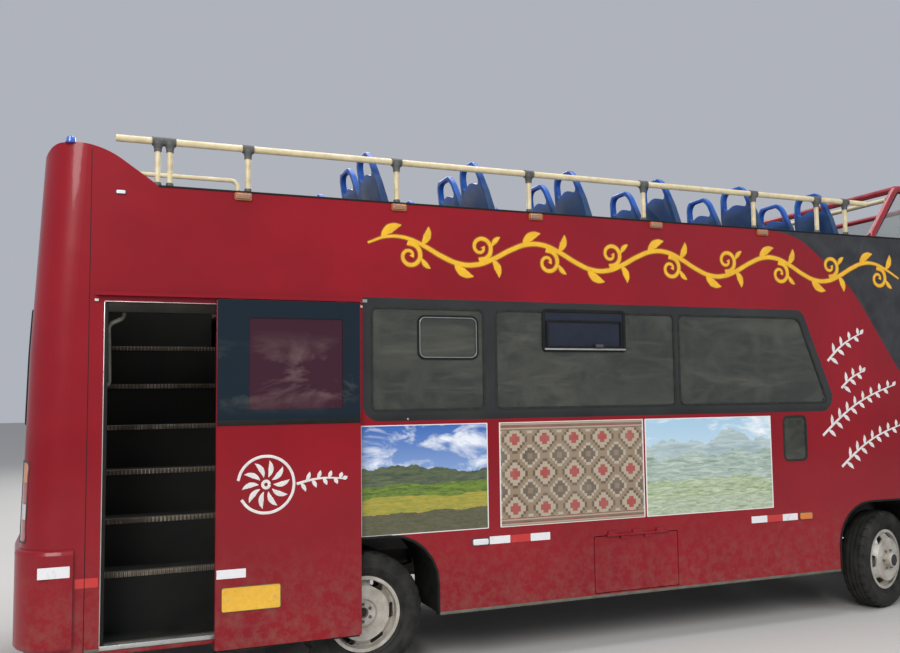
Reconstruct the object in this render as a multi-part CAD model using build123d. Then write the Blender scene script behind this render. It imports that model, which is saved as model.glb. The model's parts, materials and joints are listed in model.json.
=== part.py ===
from build123d import *
import os

# An open-top double-decker bus on a light front-engined chassis, in millimetres.
# +X is forward, +Y is the bus's left, Z is up from the road, and X = 0 is the middle of its length.

# Overall sizes, and the wall and clearances that the panels share
overall_length = 8068
overall_width = 2300
wall = 40
panel_gap = 6
seat_gap = 0.3
cut = 5

# Wheels: 17.5-inch rims, single in front and twin behind
tyre_radius = 383.5
tyre_width = 211
rim_radius = 222
rim_flange_radius = 235
rim_width = 152
twin_spacing = 240
rear_wheel_inset = 145
front_wheel_inset = 150
kingpin_offset = 150
steer_at_rest = 16

# Chassis
wheelbase = 4330
rear_overhang = 2034
frame_rise = 106.5
frame_height = 200
flange = 70
web = 8
rail_share = 0.652

# Heights of the body
floor_thickness = 30
headroom = 1660
deck_thickness = 40
parapet = 592
waist = 870
fin_rise = 224
rail_rise = 272

# Entry door and its opening on the right-hand side
doorway_width = 816
door_lap = 34
door_width = 882
door_travel = 657
door_thickness = 40
door_clear = 12

# Driver's door, side hatch and front flap
cab_door_width = 610
hatch_rear_x = -367
hatch_width = 697
hatch_height = 392
flap_half = 430
flap_height = 480
grille_slots = 6

# Glass
glass_recess = 4
glass_thickness = 6

# Seats
seat_width = 430
seat_pair_pitch = 450
upper_rows = 6
upper_row_pitch = 770
lower_rows = 4
lower_row_pitch = 720

# Worked out from the sizes above
rear_end_x = -overall_length / 2
front_end_x = overall_length / 2
half_width = overall_width / 2
inside = half_width - wall
rear_seam_x = rear_end_x + 394
front_seam_x = front_end_x - 554
rear_axle_x = rear_end_x + rear_overhang
front_axle_x = rear_axle_x + wheelbase
rear_outer_y = half_width - rear_wheel_inset
rear_mid_y = rear_outer_y - twin_spacing / 2
front_wheel_y = half_width - front_wheel_inset
kingpin_y = front_wheel_y - kingpin_offset
tyre_inner_y = rear_outer_y - twin_spacing - tyre_width / 2
rail_out = round(rail_share * tyre_inner_y)

axle_z = tyre_radius
frame_low_z = axle_z + frame_rise
frame_high_z = frame_low_z + frame_height
floor_z = frame_high_z + floor_thickness
skirt_z = floor_z - 377
sill_z = floor_z - 351
waist_z = floor_z + waist
ceiling_z = floor_z + headroom
deck_z = ceiling_z + deck_thickness
band_top_z = ceiling_z + 4
wall_top_z = deck_z + parapet
fin_top_z = wall_top_z + fin_rise
rail_z = wall_top_z + rail_rise

arch_half = tyre_radius + 101.5
arch_top_z = 2 * tyre_radius + 104
arch_corner = 330

doorway_rear_x = rear_seam_x + 84
doorway_front_x = doorway_rear_x + doorway_width
doorway_top_z = band_top_z - 71
door_rear_x = doorway_rear_x - door_lap + door_travel
door_front_x = door_rear_x + door_width
door_bottom_z = sill_z - 79
door_top_z = doorway_top_z + 29

cab_door_front_x = front_seam_x - 20
cab_door_rear_x = max(cab_door_front_x - cab_door_width, front_axle_x + arch_half + 35)
cab_door_bottom_z = floor_z - 290
cab_door_top_z = band_top_z - 54
hatch_front_x = hatch_rear_x + hatch_width
hatch_bottom_z = skirt_z + 27
hatch_top_z = hatch_bottom_z + hatch_height
flap_bottom_z = floor_z - 30
flap_top_z = flap_bottom_z + flap_height

parts = {}


def block(x, y, z):
    # Each argument is a pair: low and high.
    size = Box(x[1] - x[0], y[1] - y[0], z[1] - z[0])
    return Pos((x[0] + x[1]) / 2, (y[0] + y[1]) / 2, (z[0] + z[1]) / 2) * size


def around(middle, half):
    return (middle - half, middle + half)


def rounded_face(corners, place):
    # Corners are (first coordinate, second coordinate, corner radius).
    points = [place(a, b) for a, b, radius in corners]
    return make_face(FilletPolyline(*points, radius=[radius for a, b, radius in corners], close=True))


def side_panel(corners, y):
    # Corners are (x, z, radius); y is (low, high).
    face = rounded_face(corners, lambda x, z: (x, y[0], z))
    return extrude(face, amount=y[1] - y[0], dir=(0, 1, 0))


def plan_panel(corners, z):
    # Corners are (x, y, radius); z is (low, high).
    face = rounded_face(corners, lambda x, y: (x, y, z[0]))
    return extrude(face, amount=z[1] - z[0], dir=(0, 0, 1))


def cross_panel(corners, x):
    # Corners are (y, z, radius); x is (low, high).
    face = rounded_face(corners, lambda y, z: (x[0], y, z))
    return extrude(face, amount=x[1] - x[0], dir=(1, 0, 0))


def rounded_rectangle(a, b, radius):
    return [(a[0], b[0], radius), (a[1], b[0], radius), (a[1], b[1], radius), (a[0], b[1], radius)]


def rod(start, end, radius):
    axis = Vector(*end) - Vector(*start)
    return Solid.make_cylinder(radius, axis.length, Plane(origin=start, z_dir=axis))


def bent_tube(points, bend, radius):
    path = FilletPolyline(*points, radius=bend)
    section = Plane(origin=path @ 0, z_dir=path % 0) * Circle(radius)
    return sweep(section, path=path)


def turned(profile, y=0):
    # A profile of (radius, distance along the axle) turned about the wheel's own Y axis.
    points = [(r, a + y, 0) for r, a in profile]
    return revolve(make_face(Polyline(*points, close=True)), axis=Axis.Y)


def other_side(shape):
    return mirror(shape, about=Plane.XZ)


def join(shapes):
    shapes = list(shapes)
    total = shapes[0]
    for shape in shapes[1:]:
        total = total + shape
    return total


def group(shapes):
    return Compound(children=[solid for shape in shapes for solid in shape.solids()])


# The hull of each end of the body: a stack of plan sections, straight from one to the next.
# Columns: height, end of the body, corner radius, bow of the end in plan.
front_nose_x = front_end_x - 49
front_sections = [
    (skirt_z, front_end_x - 94, 200, 90),
    (floor_z - 20, front_nose_x, 200, 90),
    (floor_z + 530, front_nose_x, 200, 90),
    (band_top_z, front_end_x - 234, 200, 90),
    (wall_top_z, front_end_x - 344, 110, 70),
]
rear_sections = [
    (skirt_z, rear_end_x + 59, 230, 25),
    (floor_z + 180, rear_end_x + 34, 230, 25),
    (floor_z + 1310, rear_end_x + 64, 230, 25),
    (fin_top_z + 4, rear_end_x + 129, 230, 25),
]
end_bow_radius = 1200


def end_outline(seam_x, end_x, corner, bow, width):
    side = 1 if end_x > seam_x else -1
    return [
        (seam_x, -width, 0),
        (end_x - side * bow, -width, corner),
        (end_x, -width / 2, end_bow_radius),
        (end_x, width / 2, end_bow_radius),
        (end_x - side * bow, width, corner),
        (seam_x, width, 0),
    ]


def end_hull(sections, seam_x, inset):
    faces = []
    for z, end_x, corner, bow in sections:
        tip = end_x - inset if end_x > seam_x else end_x + inset
        outline = end_outline(seam_x, tip, corner - inset, bow, half_width - inset)
        faces.append(rounded_face(outline, lambda x, y: (x, y, z)))
    return join(loft([low, high], ruled=True) for low, high in zip(faces, faces[1:]))


def glass_skin(sections, seam_x):
    outer = end_hull(sections, seam_x, glass_recess)
    return outer - end_hull(sections, seam_x, glass_recess + glass_thickness)


# A closed hull for each end, and hulls stepped in by the wall
front_outer = end_hull(front_sections, front_seam_x, 0)
front_inner = end_hull(front_sections, front_seam_x, wall)
rear_outer = end_hull(rear_sections, rear_seam_x, 0)
rear_inner = end_hull(rear_sections, rear_seam_x, wall)

# Crown of the side walls: level along the deck, sweeping up to the fin at the rear
crown = [
    (rear_end_x - 60, skirt_z - 10, 0),
    (front_seam_x, skirt_z - 10, 0),
    (front_seam_x, wall_top_z, 0),
    (rear_seam_x + 370, wall_top_z, 60),
    (rear_seam_x + 50, fin_top_z, 450),
    (rear_end_x + 189, fin_top_z, 90),
    (rear_end_x + 99, fin_top_z - 116, 0),
    (rear_end_x - 60, wall_top_z - 12, 0),
]
right_wall_y = (-half_width, -inside)
left_wall_y = (inside, half_width)
right_cut_y = (-half_width - cut, -inside + cut)
left_cut_y = (inside - cut, half_width + cut)
right_glass_y = (-half_width + glass_recess, -half_width + glass_recess + glass_thickness)
left_glass_y = (half_width - glass_recess - glass_thickness, half_width - glass_recess)


def arch(axle_x):
    left, right = around(axle_x, arch_half)
    low = skirt_z - 20
    top = arch_top_z
    return [(left, low, 0), (right, low, 0), (right, top, arch_corner), (left, top, arch_corner)]


# The black window band has a raked front end. Its rear end differs from side to side.
band_front_x = front_seam_x - 1595
band_rake = 328
right_band_rear_x = door_front_x + 30
left_band_rear_x = rear_seam_x + 120
window_low_z = waist_z + 65
window_high_z = band_top_z - 59
pillar_one_x = (right_band_rear_x + 846, right_band_rear_x + 927)
pillar_two_x = (right_band_rear_x + 2373, right_band_rear_x + 2406)


def band(rear_x):
    return [
        (rear_x, waist_z, 110),
        (band_front_x, waist_z, 110),
        (band_front_x - band_rake, band_top_z, 90),
        (rear_x, band_top_z, 0),
    ]


# Windows in the band. Columns: rear edge, front edge.
right_windows = [
    (right_band_rear_x + 56, pillar_one_x[0]),
    (pillar_one_x[1], pillar_two_x[0]),
]
left_windows = [
    (left_band_rear_x + 60, left_band_rear_x + 780),
    (left_band_rear_x + 860, pillar_one_x[0]),
    (pillar_one_x[1], pillar_two_x[0]),
]
front_window = [
    (pillar_two_x[1], window_low_z, 40),
    (band_front_x - 95, window_low_z, 70),
    (band_front_x - 365, window_high_z, 60),
    (pillar_two_x[1], window_high_z, 40),
]
small_window = rounded_rectangle((band_front_x - 557, band_front_x - 328), (waist_z - 375, waist_z - 29), 50)
cab_glass_z = (waist_z - 90, band_top_z - 154)
cab_window = rounded_rectangle((front_seam_x - 550, front_seam_x - 80), cab_glass_z, 60)
cab_door_window = rounded_rectangle((cab_door_rear_x + 80, cab_door_front_x - 70), cab_glass_z, 60)
cab_doorway = rounded_rectangle((cab_door_rear_x, cab_door_front_x), (cab_door_bottom_z, cab_door_top_z), 40)
hatch_hole = rounded_rectangle((hatch_rear_x, hatch_front_x), (hatch_bottom_z, hatch_top_z), 12)


def windows(table):
    plain = [rounded_rectangle((rear, front), (window_low_z, window_high_z), 45) for rear, front in table]
    return plain + [front_window]


def window_frame(band_rear_x, table, y, cut_y):
    frame = side_panel(band(band_rear_x), y)
    for hole in windows(table):
        frame = frame - side_panel(hole, cut_y)
    return frame


def lower_side(band_rear_x, y, cut_y, holes):
    panel = block((rear_seam_x, front_seam_x), y, (skirt_z, band_top_z))
    for hole in [arch(rear_axle_x), arch(front_axle_x), band(band_rear_x), hatch_hole] + holes:
        panel = panel - side_panel(hole, cut_y)
    return panel


def upper_side(y):
    above = block((rear_seam_x, front_seam_x), y, (band_top_z, fin_top_z + 20))
    return above & side_panel(crown, y)


doorway = rounded_rectangle((doorway_rear_x, doorway_front_x), (sill_z, doorway_top_z), 0)
right_lower = lower_side(right_band_rear_x, right_wall_y, right_cut_y, [doorway, small_window, cab_window])
left_lower = lower_side(left_band_rear_x, left_wall_y, left_cut_y, [cab_doorway])
parts["right_window_frame"] = window_frame(right_band_rear_x, right_windows, right_wall_y, right_cut_y)
parts["left_window_frame"] = window_frame(left_band_rear_x, left_windows, left_wall_y, left_cut_y)
parts["right_upper_side"] = upper_side(right_wall_y)
parts["left_upper_side"] = upper_side(left_wall_y)
right_holes = windows(right_windows) + [small_window, cab_window]
right_panes = [side_panel(hole, right_glass_y) for hole in right_holes]
left_panes = [side_panel(hole, left_glass_y) for hole in windows(left_windows)]
parts["side_windows"] = group(right_panes + left_panes)

# Rear shell, rear window and rear lamps
rear_window_low_z = waist_z + 30
rear_window_high_z = band_top_z - 104
rear_window_hole = cross_panel(
    [
        (-half_width + 270, rear_window_low_z, 90), (half_width - 270, rear_window_low_z, 90),
        (half_width - 310, rear_window_high_z, 90), (-half_width + 310, rear_window_high_z, 90),
    ],
    (rear_end_x - 20, rear_seam_x - 120),
)
lamp_y = (-half_width + 120, -half_width + 250)
lamp_z = (floor_z + 240, floor_z + 680)
lamp_hole = cross_panel(rounded_rectangle(lamp_y, lamp_z, 30), (rear_end_x, rear_end_x + 234))
lamp_holes = lamp_hole + other_side(lamp_hole)
rear_wall = (rear_outer - rear_inner) & side_panel(crown, (-half_width - cut, half_width + cut))
parts["rear_lamps"] = rear_wall & lamp_holes
parts["rear_shell"] = rear_wall - rear_window_hole - lamp_holes
parts["rear_window"] = glass_skin(rear_sections, rear_seam_x) & rear_window_hole

# Front shell, windscreen, headlamps, and the flap with its grille
screen_low_z = floor_z + 570
screen_high_z = band_top_z - 94
screen_hole = cross_panel(
    [
        (-half_width + 120, screen_low_z, 100), (half_width - 120, screen_low_z, 100),
        (half_width - 165, screen_high_z, 100), (-half_width + 165, screen_high_z, 100),
    ],
    (front_seam_x + 20, front_end_x),
)
lamp_low_z = floor_z
headlamp = cross_panel(
    [
        (-half_width + 140, lamp_low_z, 70), (-flap_half - 210, lamp_low_z, 70),
        (-flap_half - 180, lamp_low_z + 185, 60), (-half_width + 150, lamp_low_z + 215, 80),
    ],
    (front_end_x - 334, front_end_x),
)
headlamp_holes = headlamp + other_side(headlamp)
flap_x = (front_end_x - 234, front_end_x)
flap_hole = cross_panel(rounded_rectangle((-flap_half, flap_half), (flap_bottom_z, flap_top_z), 25), flap_x)
flap_outline = rounded_rectangle(
    (-flap_half + panel_gap, flap_half - panel_gap), (flap_bottom_z + panel_gap, flap_top_z - panel_gap), 20
)
front_wall = front_outer - front_inner
front_shell = front_wall - screen_hole - headlamp_holes - flap_hole
front_flap = front_wall & cross_panel(flap_outline, flap_x)
slot_height = 26
slot_pitch = 52
slot_half = flap_half - 70
for number in range(grille_slots):
    slot_z = around(flap_bottom_z + 80 + slot_pitch * number, slot_height / 2)
    front_flap = front_flap - cross_panel(rounded_rectangle((-slot_half, slot_half), slot_z, 12), flap_x)
parts["headlamps"] = front_wall & headlamp_holes
parts["windscreen"] = glass_skin(front_sections, front_seam_x) & screen_hole

# Hinges: knuckles along an axis, odd ones on the fixed side and even ones on the moving side,
# each on a leaf. They stand proud of the panel.
hinge_radius = 9
hinge_stand_off = hinge_radius + 1
leaf_half = 36
leaf_depth = 30


def knuckles(start, end, count):
    start = Vector(*start)
    step = (Vector(*end) - start) * (1 / count)
    axis = step.normalized()
    made = []
    for number in range(count):
        low = start + step * number + axis * (seat_gap / 2)
        high = start + step * (number + 1) - axis * (seat_gap / 2)
        made.append(rod(tuple(low), tuple(high), hinge_radius))
    return made[0::2], made[1::2]


flap_hinge_x = front_nose_x + hinge_stand_off
flap_hinge_half = 0.465 * flap_half
hinge_ends = [(flap_hinge_x, side * flap_hinge_half, flap_top_z) for side in (-1, 1)]
fixed, moving = knuckles(*hinge_ends, 5)
leaf_x = (flap_hinge_x - hinge_stand_off - 4, flap_hinge_x)
for knuckle in fixed:
    leaf_y = around(knuckle.center().Y, leaf_half)
    front_shell = front_shell + knuckle + block(leaf_x, leaf_y, (flap_top_z, flap_top_z + leaf_depth))
for knuckle in moving:
    leaf_y = around(knuckle.center().Y, leaf_half)
    front_flap = front_flap + knuckle + block(leaf_x, leaf_y, (flap_top_z - leaf_depth, flap_top_z))
parts["front_shell"] = front_shell
parts["front_flap"] = front_flap

# Side hatches, hinged along their top edges
lid_x = (hatch_rear_x + panel_gap, hatch_front_x - panel_gap)
lid_z = (hatch_bottom_z + panel_gap, hatch_top_z - panel_gap)
hinge_y = half_width + hinge_stand_off
hinge_ends = [(x, -hinge_y, hatch_top_z) for x in (hatch_rear_x + 100, hatch_front_x - 100)]
fixed, moving = knuckles(*hinge_ends, 5)
right_hatch = side_panel(rounded_rectangle(lid_x, lid_z, 8), right_wall_y)
leaf_y = (-hinge_y, -half_width + cut)
for knuckle in moving:
    leaf = block(around(knuckle.center().X, leaf_half), leaf_y, (hatch_top_z - leaf_depth, hatch_top_z))
    right_hatch = right_hatch + knuckle + leaf
for knuckle in fixed:
    leaf = block(around(knuckle.center().X, leaf_half), leaf_y, (hatch_top_z, hatch_top_z + leaf_depth))
    plate = knuckle + leaf
    right_lower = right_lower + plate
    left_lower = left_lower + other_side(plate)
parts["right_hatch"] = right_hatch
parts["left_hatch"] = other_side(right_hatch)

# Driver's door, hinged along its front edge, and its glass
cab_lid = rounded_rectangle(
    (cab_door_rear_x + panel_gap, cab_door_front_x - panel_gap),
    (cab_door_bottom_z + panel_gap, cab_door_top_z - panel_gap),
    36,
)
cab_door = side_panel(cab_lid, left_wall_y) - side_panel(cab_door_window, left_cut_y)
cab_hinge_height = 150
for low_z in (cab_door_bottom_z + 190, cab_door_top_z - 430):
    ends = [(cab_door_front_x, hinge_y, low_z), (cab_door_front_x, hinge_y, low_z + cab_hinge_height)]
    fixed, moving = knuckles(*ends, 3)
    leaf_y = (half_width - 4, hinge_y)
    for knuckle in moving:
        leaf_z = around(knuckle.center().Z, 20)
        leaf = block((cab_door_front_x - leaf_depth, cab_door_front_x), leaf_y, leaf_z)
        cab_door = cab_door + knuckle + leaf
    for knuckle in fixed:
        leaf_z = around(knuckle.center().Z, 20)
        leaf = block((cab_door_front_x, cab_door_front_x + 20), leaf_y, leaf_z)
        left_lower = left_lower + knuckle + leaf
parts["driver_door"] = cab_door
parts["driver_door_glass"] = side_panel(cab_door_window, left_glass_y)
parts["right_lower_side"] = right_lower
parts["left_lower_side"] = left_lower

# Bumpers wrap the ends and stand proud of the shells, with eased edges
bumper_proud = 26


def bumper(seam_x, end_x, z, corner, bow, hull):
    # Columns: height, how far the outline is drawn in
    levels = [(z[0], 10), (z[0] + 14, 0), (z[1] - 26, 0), (z[1] - 8, 7), (z[1], 18)]
    side = 1 if end_x > seam_x else -1
    faces = []
    for level, inset in levels:
        width = half_width + bumper_proud - inset
        outline = end_outline(seam_x, end_x - side * inset, corner - inset, bow, width)
        faces.append(rounded_face(outline, lambda x, y: (x, y, level)))
    whole = join(loft([low, high], ruled=True) for low, high in zip(faces, faces[1:]))
    return whole - hull - block(around(seam_x, 2), (-half_width, half_width), z)


front_bumper_z = (skirt_z, floor_z - 80)
rear_bumper_z = (skirt_z + 29, floor_z + 200)
parts["front_bumper"] = bumper(front_seam_x + 20, front_end_x, front_bumper_z, 220, 95, front_outer)
parts["rear_bumper"] = bumper(rear_seam_x - 60, rear_end_x, rear_bumper_z, 250, 40, rear_outer)

# Sliding entry door, hung by two rollers in a channel track above the doorway
door_inner_y = -half_width - door_clear
door_y = (door_inner_y - door_thickness, door_inner_y)
door_cut_y = (door_y[0] - cut, door_y[1] + cut)
door_window = rounded_rectangle((door_rear_x + 105, door_front_x - 108), (waist_z + 83, door_top_z - 102), 30)
door_plate = rounded_rectangle((door_rear_x, door_front_x), (door_bottom_z, door_top_z), 12)
entry_door = side_panel(door_plate, door_y) - side_panel(door_window, door_cut_y)
door_glass_y = (door_y[0] + glass_recess, door_y[0] + glass_recess + glass_thickness)
track_x = (doorway_rear_x - 54, door_front_x + 20)
track_z = (door_top_z + 6, door_top_z + 26)
track_depth = 38
track_sheet = 3
track_lip_y = -half_width - track_depth
track = block(track_x, (-half_width - track_sheet, -half_width), track_z)
track = track + block(track_x, (track_lip_y, -half_width), (track_z[1] - track_sheet, track_z[1]))
track = track + block(track_x, (track_lip_y, track_lip_y + track_sheet), track_z)
roller_y = (-half_width - 32, -half_width - 14)
roller_z = (door_top_z - 20, track_z[1] - track_sheet - seat_gap)
for hanger_x in (door_rear_x + 120, door_front_x - 120):
    entry_door = entry_door + block(around(hanger_x, 30), roller_y, roller_z)
parts["entry_door"] = entry_door
parts["entry_door_track"] = track
parts["entry_door_glass"] = side_panel(door_window, door_glass_y)

# Lower floor with its step well, the boxes over the wheels, and the cover over the engine
step_count = 6
step_going = 250
step_plate = 22
engine_length = 940
engine_height = 560
engine_half = rail_out - 130
engine_x = (front_seam_x - 60 - engine_length, front_seam_x - 60)
engine_z = (frame_low_z + 10, frame_low_z + 10 + engine_height)
floor_z_range = (frame_high_z, floor_z)
well_y = (-inside, -inside + 2 * step_going + step_plate)
well = block((doorway_rear_x, doorway_front_x), well_y, (frame_high_z - cut, floor_z + cut))
floor = block((rear_seam_x, front_seam_x), (-inside, inside), floor_z_range)
slab = block((rear_end_x, front_end_x), (-half_width, half_width), floor_z_range)
floor = floor + (front_inner & slab) + (rear_inner & slab) - well

box_wall = 20
box_top_z = arch_top_z + 30 + box_wall
front_box_inner_y = kingpin_y - 290
rear_box_inner_y = tyre_inner_y - 59.5
wheel_boxes = []
for axle_x, inner_y in ((rear_axle_x, rear_box_inner_y), (front_axle_x, front_box_inner_y)):
    box_x = around(axle_x, arch_half + box_wall)
    void_x = around(axle_x, arch_half)
    hole = block(box_x, (-inside - cut, -inner_y), (frame_high_z - cut, floor_z + cut))
    floor = floor - hole - other_side(hole)
    outer = block(box_x, (-inside, -inner_y), (frame_high_z, box_top_z))
    void_y = (-inside - cut, -inner_y - box_wall)
    box = outer - block(void_x, void_y, (frame_high_z - cut, box_top_z - box_wall))
    wheel_boxes += [box, other_side(box)]
parts["wheel_boxes"] = group(wheel_boxes)

cover_x = (engine_x[0] - 60, engine_x[1] + 60)
cover_half = engine_half + 60
cover_top_z = engine_z[1] + 30
cover_wall = 20
cover_outline = rounded_rectangle((-cover_half, cover_half), (frame_high_z - 60, cover_top_z), 50)
void_half = cover_half - cover_wall
void_outline = rounded_rectangle((-void_half, void_half), (frame_high_z - 80, cover_top_z - cover_wall), 35)
cover = cross_panel(cover_outline, cover_x)
cover_void = cross_panel(void_outline, (cover_x[0] + cover_wall, cover_x[1] - cover_wall))
below = block((cover_x[0] - cut, cover_x[1] + cut), (-half_width, half_width), (0, frame_high_z))
floor = floor - block(cover_x, (-cover_half, cover_half), (frame_high_z - cut, floor_z + cut))
parts["engine_cover"] = cover - cover_void - below
parts["lower_floor"] = floor

# Stairs of folded plate: from the doorway straight across the bus up to the upper deck
rise = (deck_z - floor_z) / step_count
tread_z = [sill_z] + [floor_z + rise * number for number in range(step_count + 1)]
tread_y = [-inside + step_going * number for number in range(step_count + 2)]
stair_points = [(tread_y[0], sill_z - step_plate)]
for number in range(step_count + 1):
    stair_points.append((tread_y[number], tread_z[number]))
    stair_points.append((tread_y[number + 1], tread_z[number]))
stair_points += [(tread_y[-1], deck_z), (tread_y[-1] + step_plate, deck_z)]
for number in range(step_count, 0, -1):
    stair_points.append((tread_y[number + 1] + step_plate, tread_z[number] - step_plate))
    stair_points.append((tread_y[number] + step_plate, tread_z[number] - step_plate))
stair_points.append((tread_y[1] + step_plate, sill_z - step_plate))
stair_x = (doorway_rear_x + 4, doorway_front_x - 4)
parts["stairs"] = cross_panel([(y, z, 0) for y, z in stair_points], stair_x)

# A grab rail inside the doorway: from the panel behind the opening, up, and forward into the ceiling
grab_y = -inside + 45
grab_low_z = doorway_top_z - 480
grab_route = [
    (doorway_rear_x - 34, -inside, grab_low_z), (doorway_rear_x + 30, grab_y, grab_low_z),
    (doorway_rear_x + 22, grab_y, doorway_top_z - 125), (doorway_rear_x + 105, grab_y, doorway_top_z - 85),
    (doorway_rear_x + 105, grab_y, ceiling_z),
]
parts["entry_grab_rail"] = bent_tube(grab_route, [24, 40, 40], 13) - right_lower

# Upper deck floor with the stairwell opening
deck_range = (ceiling_z, deck_z)
deck_slab = block((rear_end_x, front_end_x), (-half_width, half_width), deck_range)
deck = block((rear_seam_x, front_seam_x), (-inside, inside), deck_range)
deck = deck + (front_inner & deck_slab) + (rear_inner & deck_slab)
stairwell_y = (-inside + 60, tread_y[-1] + step_plate + 0.5)
stairwell = block((doorway_rear_x, doorway_front_x), stairwell_y, (ceiling_z - cut, deck_z + cut))
parts["upper_floor"] = deck - stairwell

# Front hoop: raking pillars that run on forward as top rails, with cross tubes between them
hoop_radius = 28
hoop_y = half_width - wall / 2
hoop_foot = (front_seam_x - 1135, -hoop_y, wall_top_z + 16)
hoop_bend = (front_seam_x - 840, -hoop_y + 10, wall_top_z + 428)
hoop_front = (front_seam_x - 85, -hoop_y + 35, wall_top_z + 408)
hoop_base = (front_seam_x + 115, -hoop_y + 45, wall_top_z + 16)
pillar = bent_tube([hoop_foot, hoop_bend, hoop_front, hoop_base], [90, 60], hoop_radius)
for x, y, z in (hoop_foot, hoop_base):
    pillar = pillar + rod((x, y, wall_top_z), (x, y, z), hoop_radius + 8)
    pillar = pillar + Pos(x, y, z) * Sphere(hoop_radius + 2)


def cross_tube(x, y, z, radius):
    return rod((x, -y, z), (x, y, z), radius)


header = cross_tube(hoop_bend[0] + 10, hoop_y - 10, hoop_bend[2] - 4, hoop_radius)
grab_tube = cross_tube(hoop_bend[0] - 50, hoop_y - 12, hoop_bend[2] - 90, 20)
front_header = cross_tube(hoop_front[0] + 17, -hoop_front[1], hoop_front[2] - 8, 24)
hoop = pillar + other_side(pillar) + header + grab_tube + front_header
parts["front_hoop"] = hoop - parts["right_upper_side"] - parts["left_upper_side"] - front_wall

# Guard rails: a tube along each side on posts that stand on the wall, and a low rail beside the stairwell
rail_radius = 21
post_radius = 17
rail_y = half_width - wall / 2
rail_rear_x = rear_seam_x + 128
rail_front_x = hoop_foot[0] - 55
post_stations = [rear_seam_x + offset for offset in (364, 433, 895, 1860, 2830, 3770, 4778)]
post_stations += [hoop_foot[0] - 576, hoop_foot[0] - 279]
rail = rod((rail_rear_x, -rail_y, rail_z), (rail_front_x, -rail_y, rail_z), rail_radius)
for station in post_stations:
    rail = rail + rod((station, -rail_y, wall_top_z), (station, -rail_y, rail_z), post_radius)
low_rail_z = wall_top_z + 68
low_rail_route = [
    (rear_seam_x + 180, -rail_y, low_rail_z), (rear_seam_x + 832, -rail_y, low_rail_z),
    (rear_seam_x + 832, -rail_y, wall_top_z),
]
rail = rail + bent_tube(low_rail_route, 40, 13)
rail = rail - parts["right_upper_side"]
parts["guard_rails"] = group([rail, other_side(rail)])

# Sockets where the posts meet the rail, and sleeves where they stand on the wall
socket_drop = 62
sleeve_rise = 22


def sleeve(station, profile):
    # Columns: radius, height
    points = [(station + radius, -rail_y, z) for radius, z in profile]
    return revolve(make_face(Polyline(*points, close=True)), axis=Axis((station, -rail_y, 0), (0, 0, 1)))


sockets = []
for station in post_stations:
    grip = rod((station - 34, -rail_y, rail_z), (station + 34, -rail_y, rail_z), rail_radius + 6)
    flare = sleeve(station, [
        (0, rail_z - socket_drop), (post_radius + 5, rail_z - socket_drop), (post_radius + 6, rail_z - 44),
        (post_radius + 14, rail_z - 18), (post_radius + 14, rail_z), (0, rail_z),
    ])
    foot = sleeve(station, [
        (0, wall_top_z), (post_radius + 3, wall_top_z), (post_radius + 6, wall_top_z + 7),
        (post_radius + 4, wall_top_z + sleeve_rise), (0, wall_top_z + sleeve_rise),
    ])
    bore = rod((station, -rail_y, wall_top_z - cut), (station, -rail_y, rail_z), post_radius)
    bore = bore + rod((station - 60, -rail_y, rail_z), (station + 60, -rail_y, rail_z), rail_radius)
    sockets += [grip + flare - bore, foot - bore]
low_bore = bent_tube(low_rail_route, 40, 13)
solid_wall = low_bore + parts["right_upper_side"]
socket_pieces = [solid for shape in sockets for solid in (shape - solid_wall).solids()]
parts["rail_sockets"] = group([*socket_pieces, *[other_side(one) for one in socket_pieces]])

# Screen glass between the hoop's tubes
side_pane = [
    (hoop_foot[0], wall_top_z, 0),
    (hoop_base[0], wall_top_z, 0),
    (hoop_base[0], hoop_base[2], 0),
    (hoop_front[0], hoop_front[2], 0),
    (hoop_bend[0], hoop_bend[2], 0),
    (hoop_foot[0], hoop_foot[2], 0),
]
pane_y = -hoop_y + 12
right_pane = side_panel(side_pane, (pane_y, pane_y + glass_thickness))
front_pane = side_panel(
    [
        (hoop_base[0], wall_top_z, 0), (hoop_base[0] + glass_thickness, wall_top_z, 0),
        (hoop_front[0] + glass_thickness, hoop_front[2], 0), (hoop_front[0], hoop_front[2], 0),
    ],
    (hoop_base[1] + 5, -hoop_base[1] - 5),
)
parts["front_screen"] = right_pane + other_side(right_pane) + front_pane - parts["front_hoop"]

# Seats: a moulded shell that leans back, on a pedestal. On the upper deck its back runs up into a grab loop.
shell_thickness = 34
loop_top = 960
plain_top = 860
seat_lean = 0.235


def seat(x, y, z, top, loop):
    half = seat_width / 2
    back_x = x - 40 - seat_lean * (top - 390)
    profile = [
        (x, z + 440, 60), (x + 400, z + 462, 12), (x + 410, z + 415, 12),
        (x - 44, z + 390, 70), (back_x, z + top, 8), (back_x + shell_thickness, z + top, 8),
    ]
    front = [
        (y - half + 15, z + 340, 0), (y + half - 15, z + 340, 0), (y + half, z + 560, 120),
        (y + half - 20, z + top - 220, 160), (y + 132, z + top + 6, 118),
        (y - 132, z + top + 6, 118), (y - half + 20, z + top - 220, 160), (y - half, z + 560, 120),
    ]
    shell = side_panel(profile, (y - half, y + half))
    back = cross_panel(front, (x - 260, x + 70))
    pan = block((x + 60, x + 430), (y - half, y + half), (z + 340, z + 500))
    shell = shell & (back + pan)
    if loop:
        hole = [
            (y - 150, z + loop_top - 178, 28), (y, z + loop_top - 128, 150), (y + 150, z + loop_top - 178, 28),
            (y + 108, z + loop_top - 26, 90), (y - 108, z + loop_top - 26, 90),
        ]
        shell = shell - cross_panel(hole, (x - 260, x))
    stand = [(y - 150, z, 0), (y + 150, z, 0), (y + 70, z + 425, 0), (y - 70, z + 425, 0)]
    pedestal = cross_panel(stand, (x + 120, x + 200))
    return shell + pedestal


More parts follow.
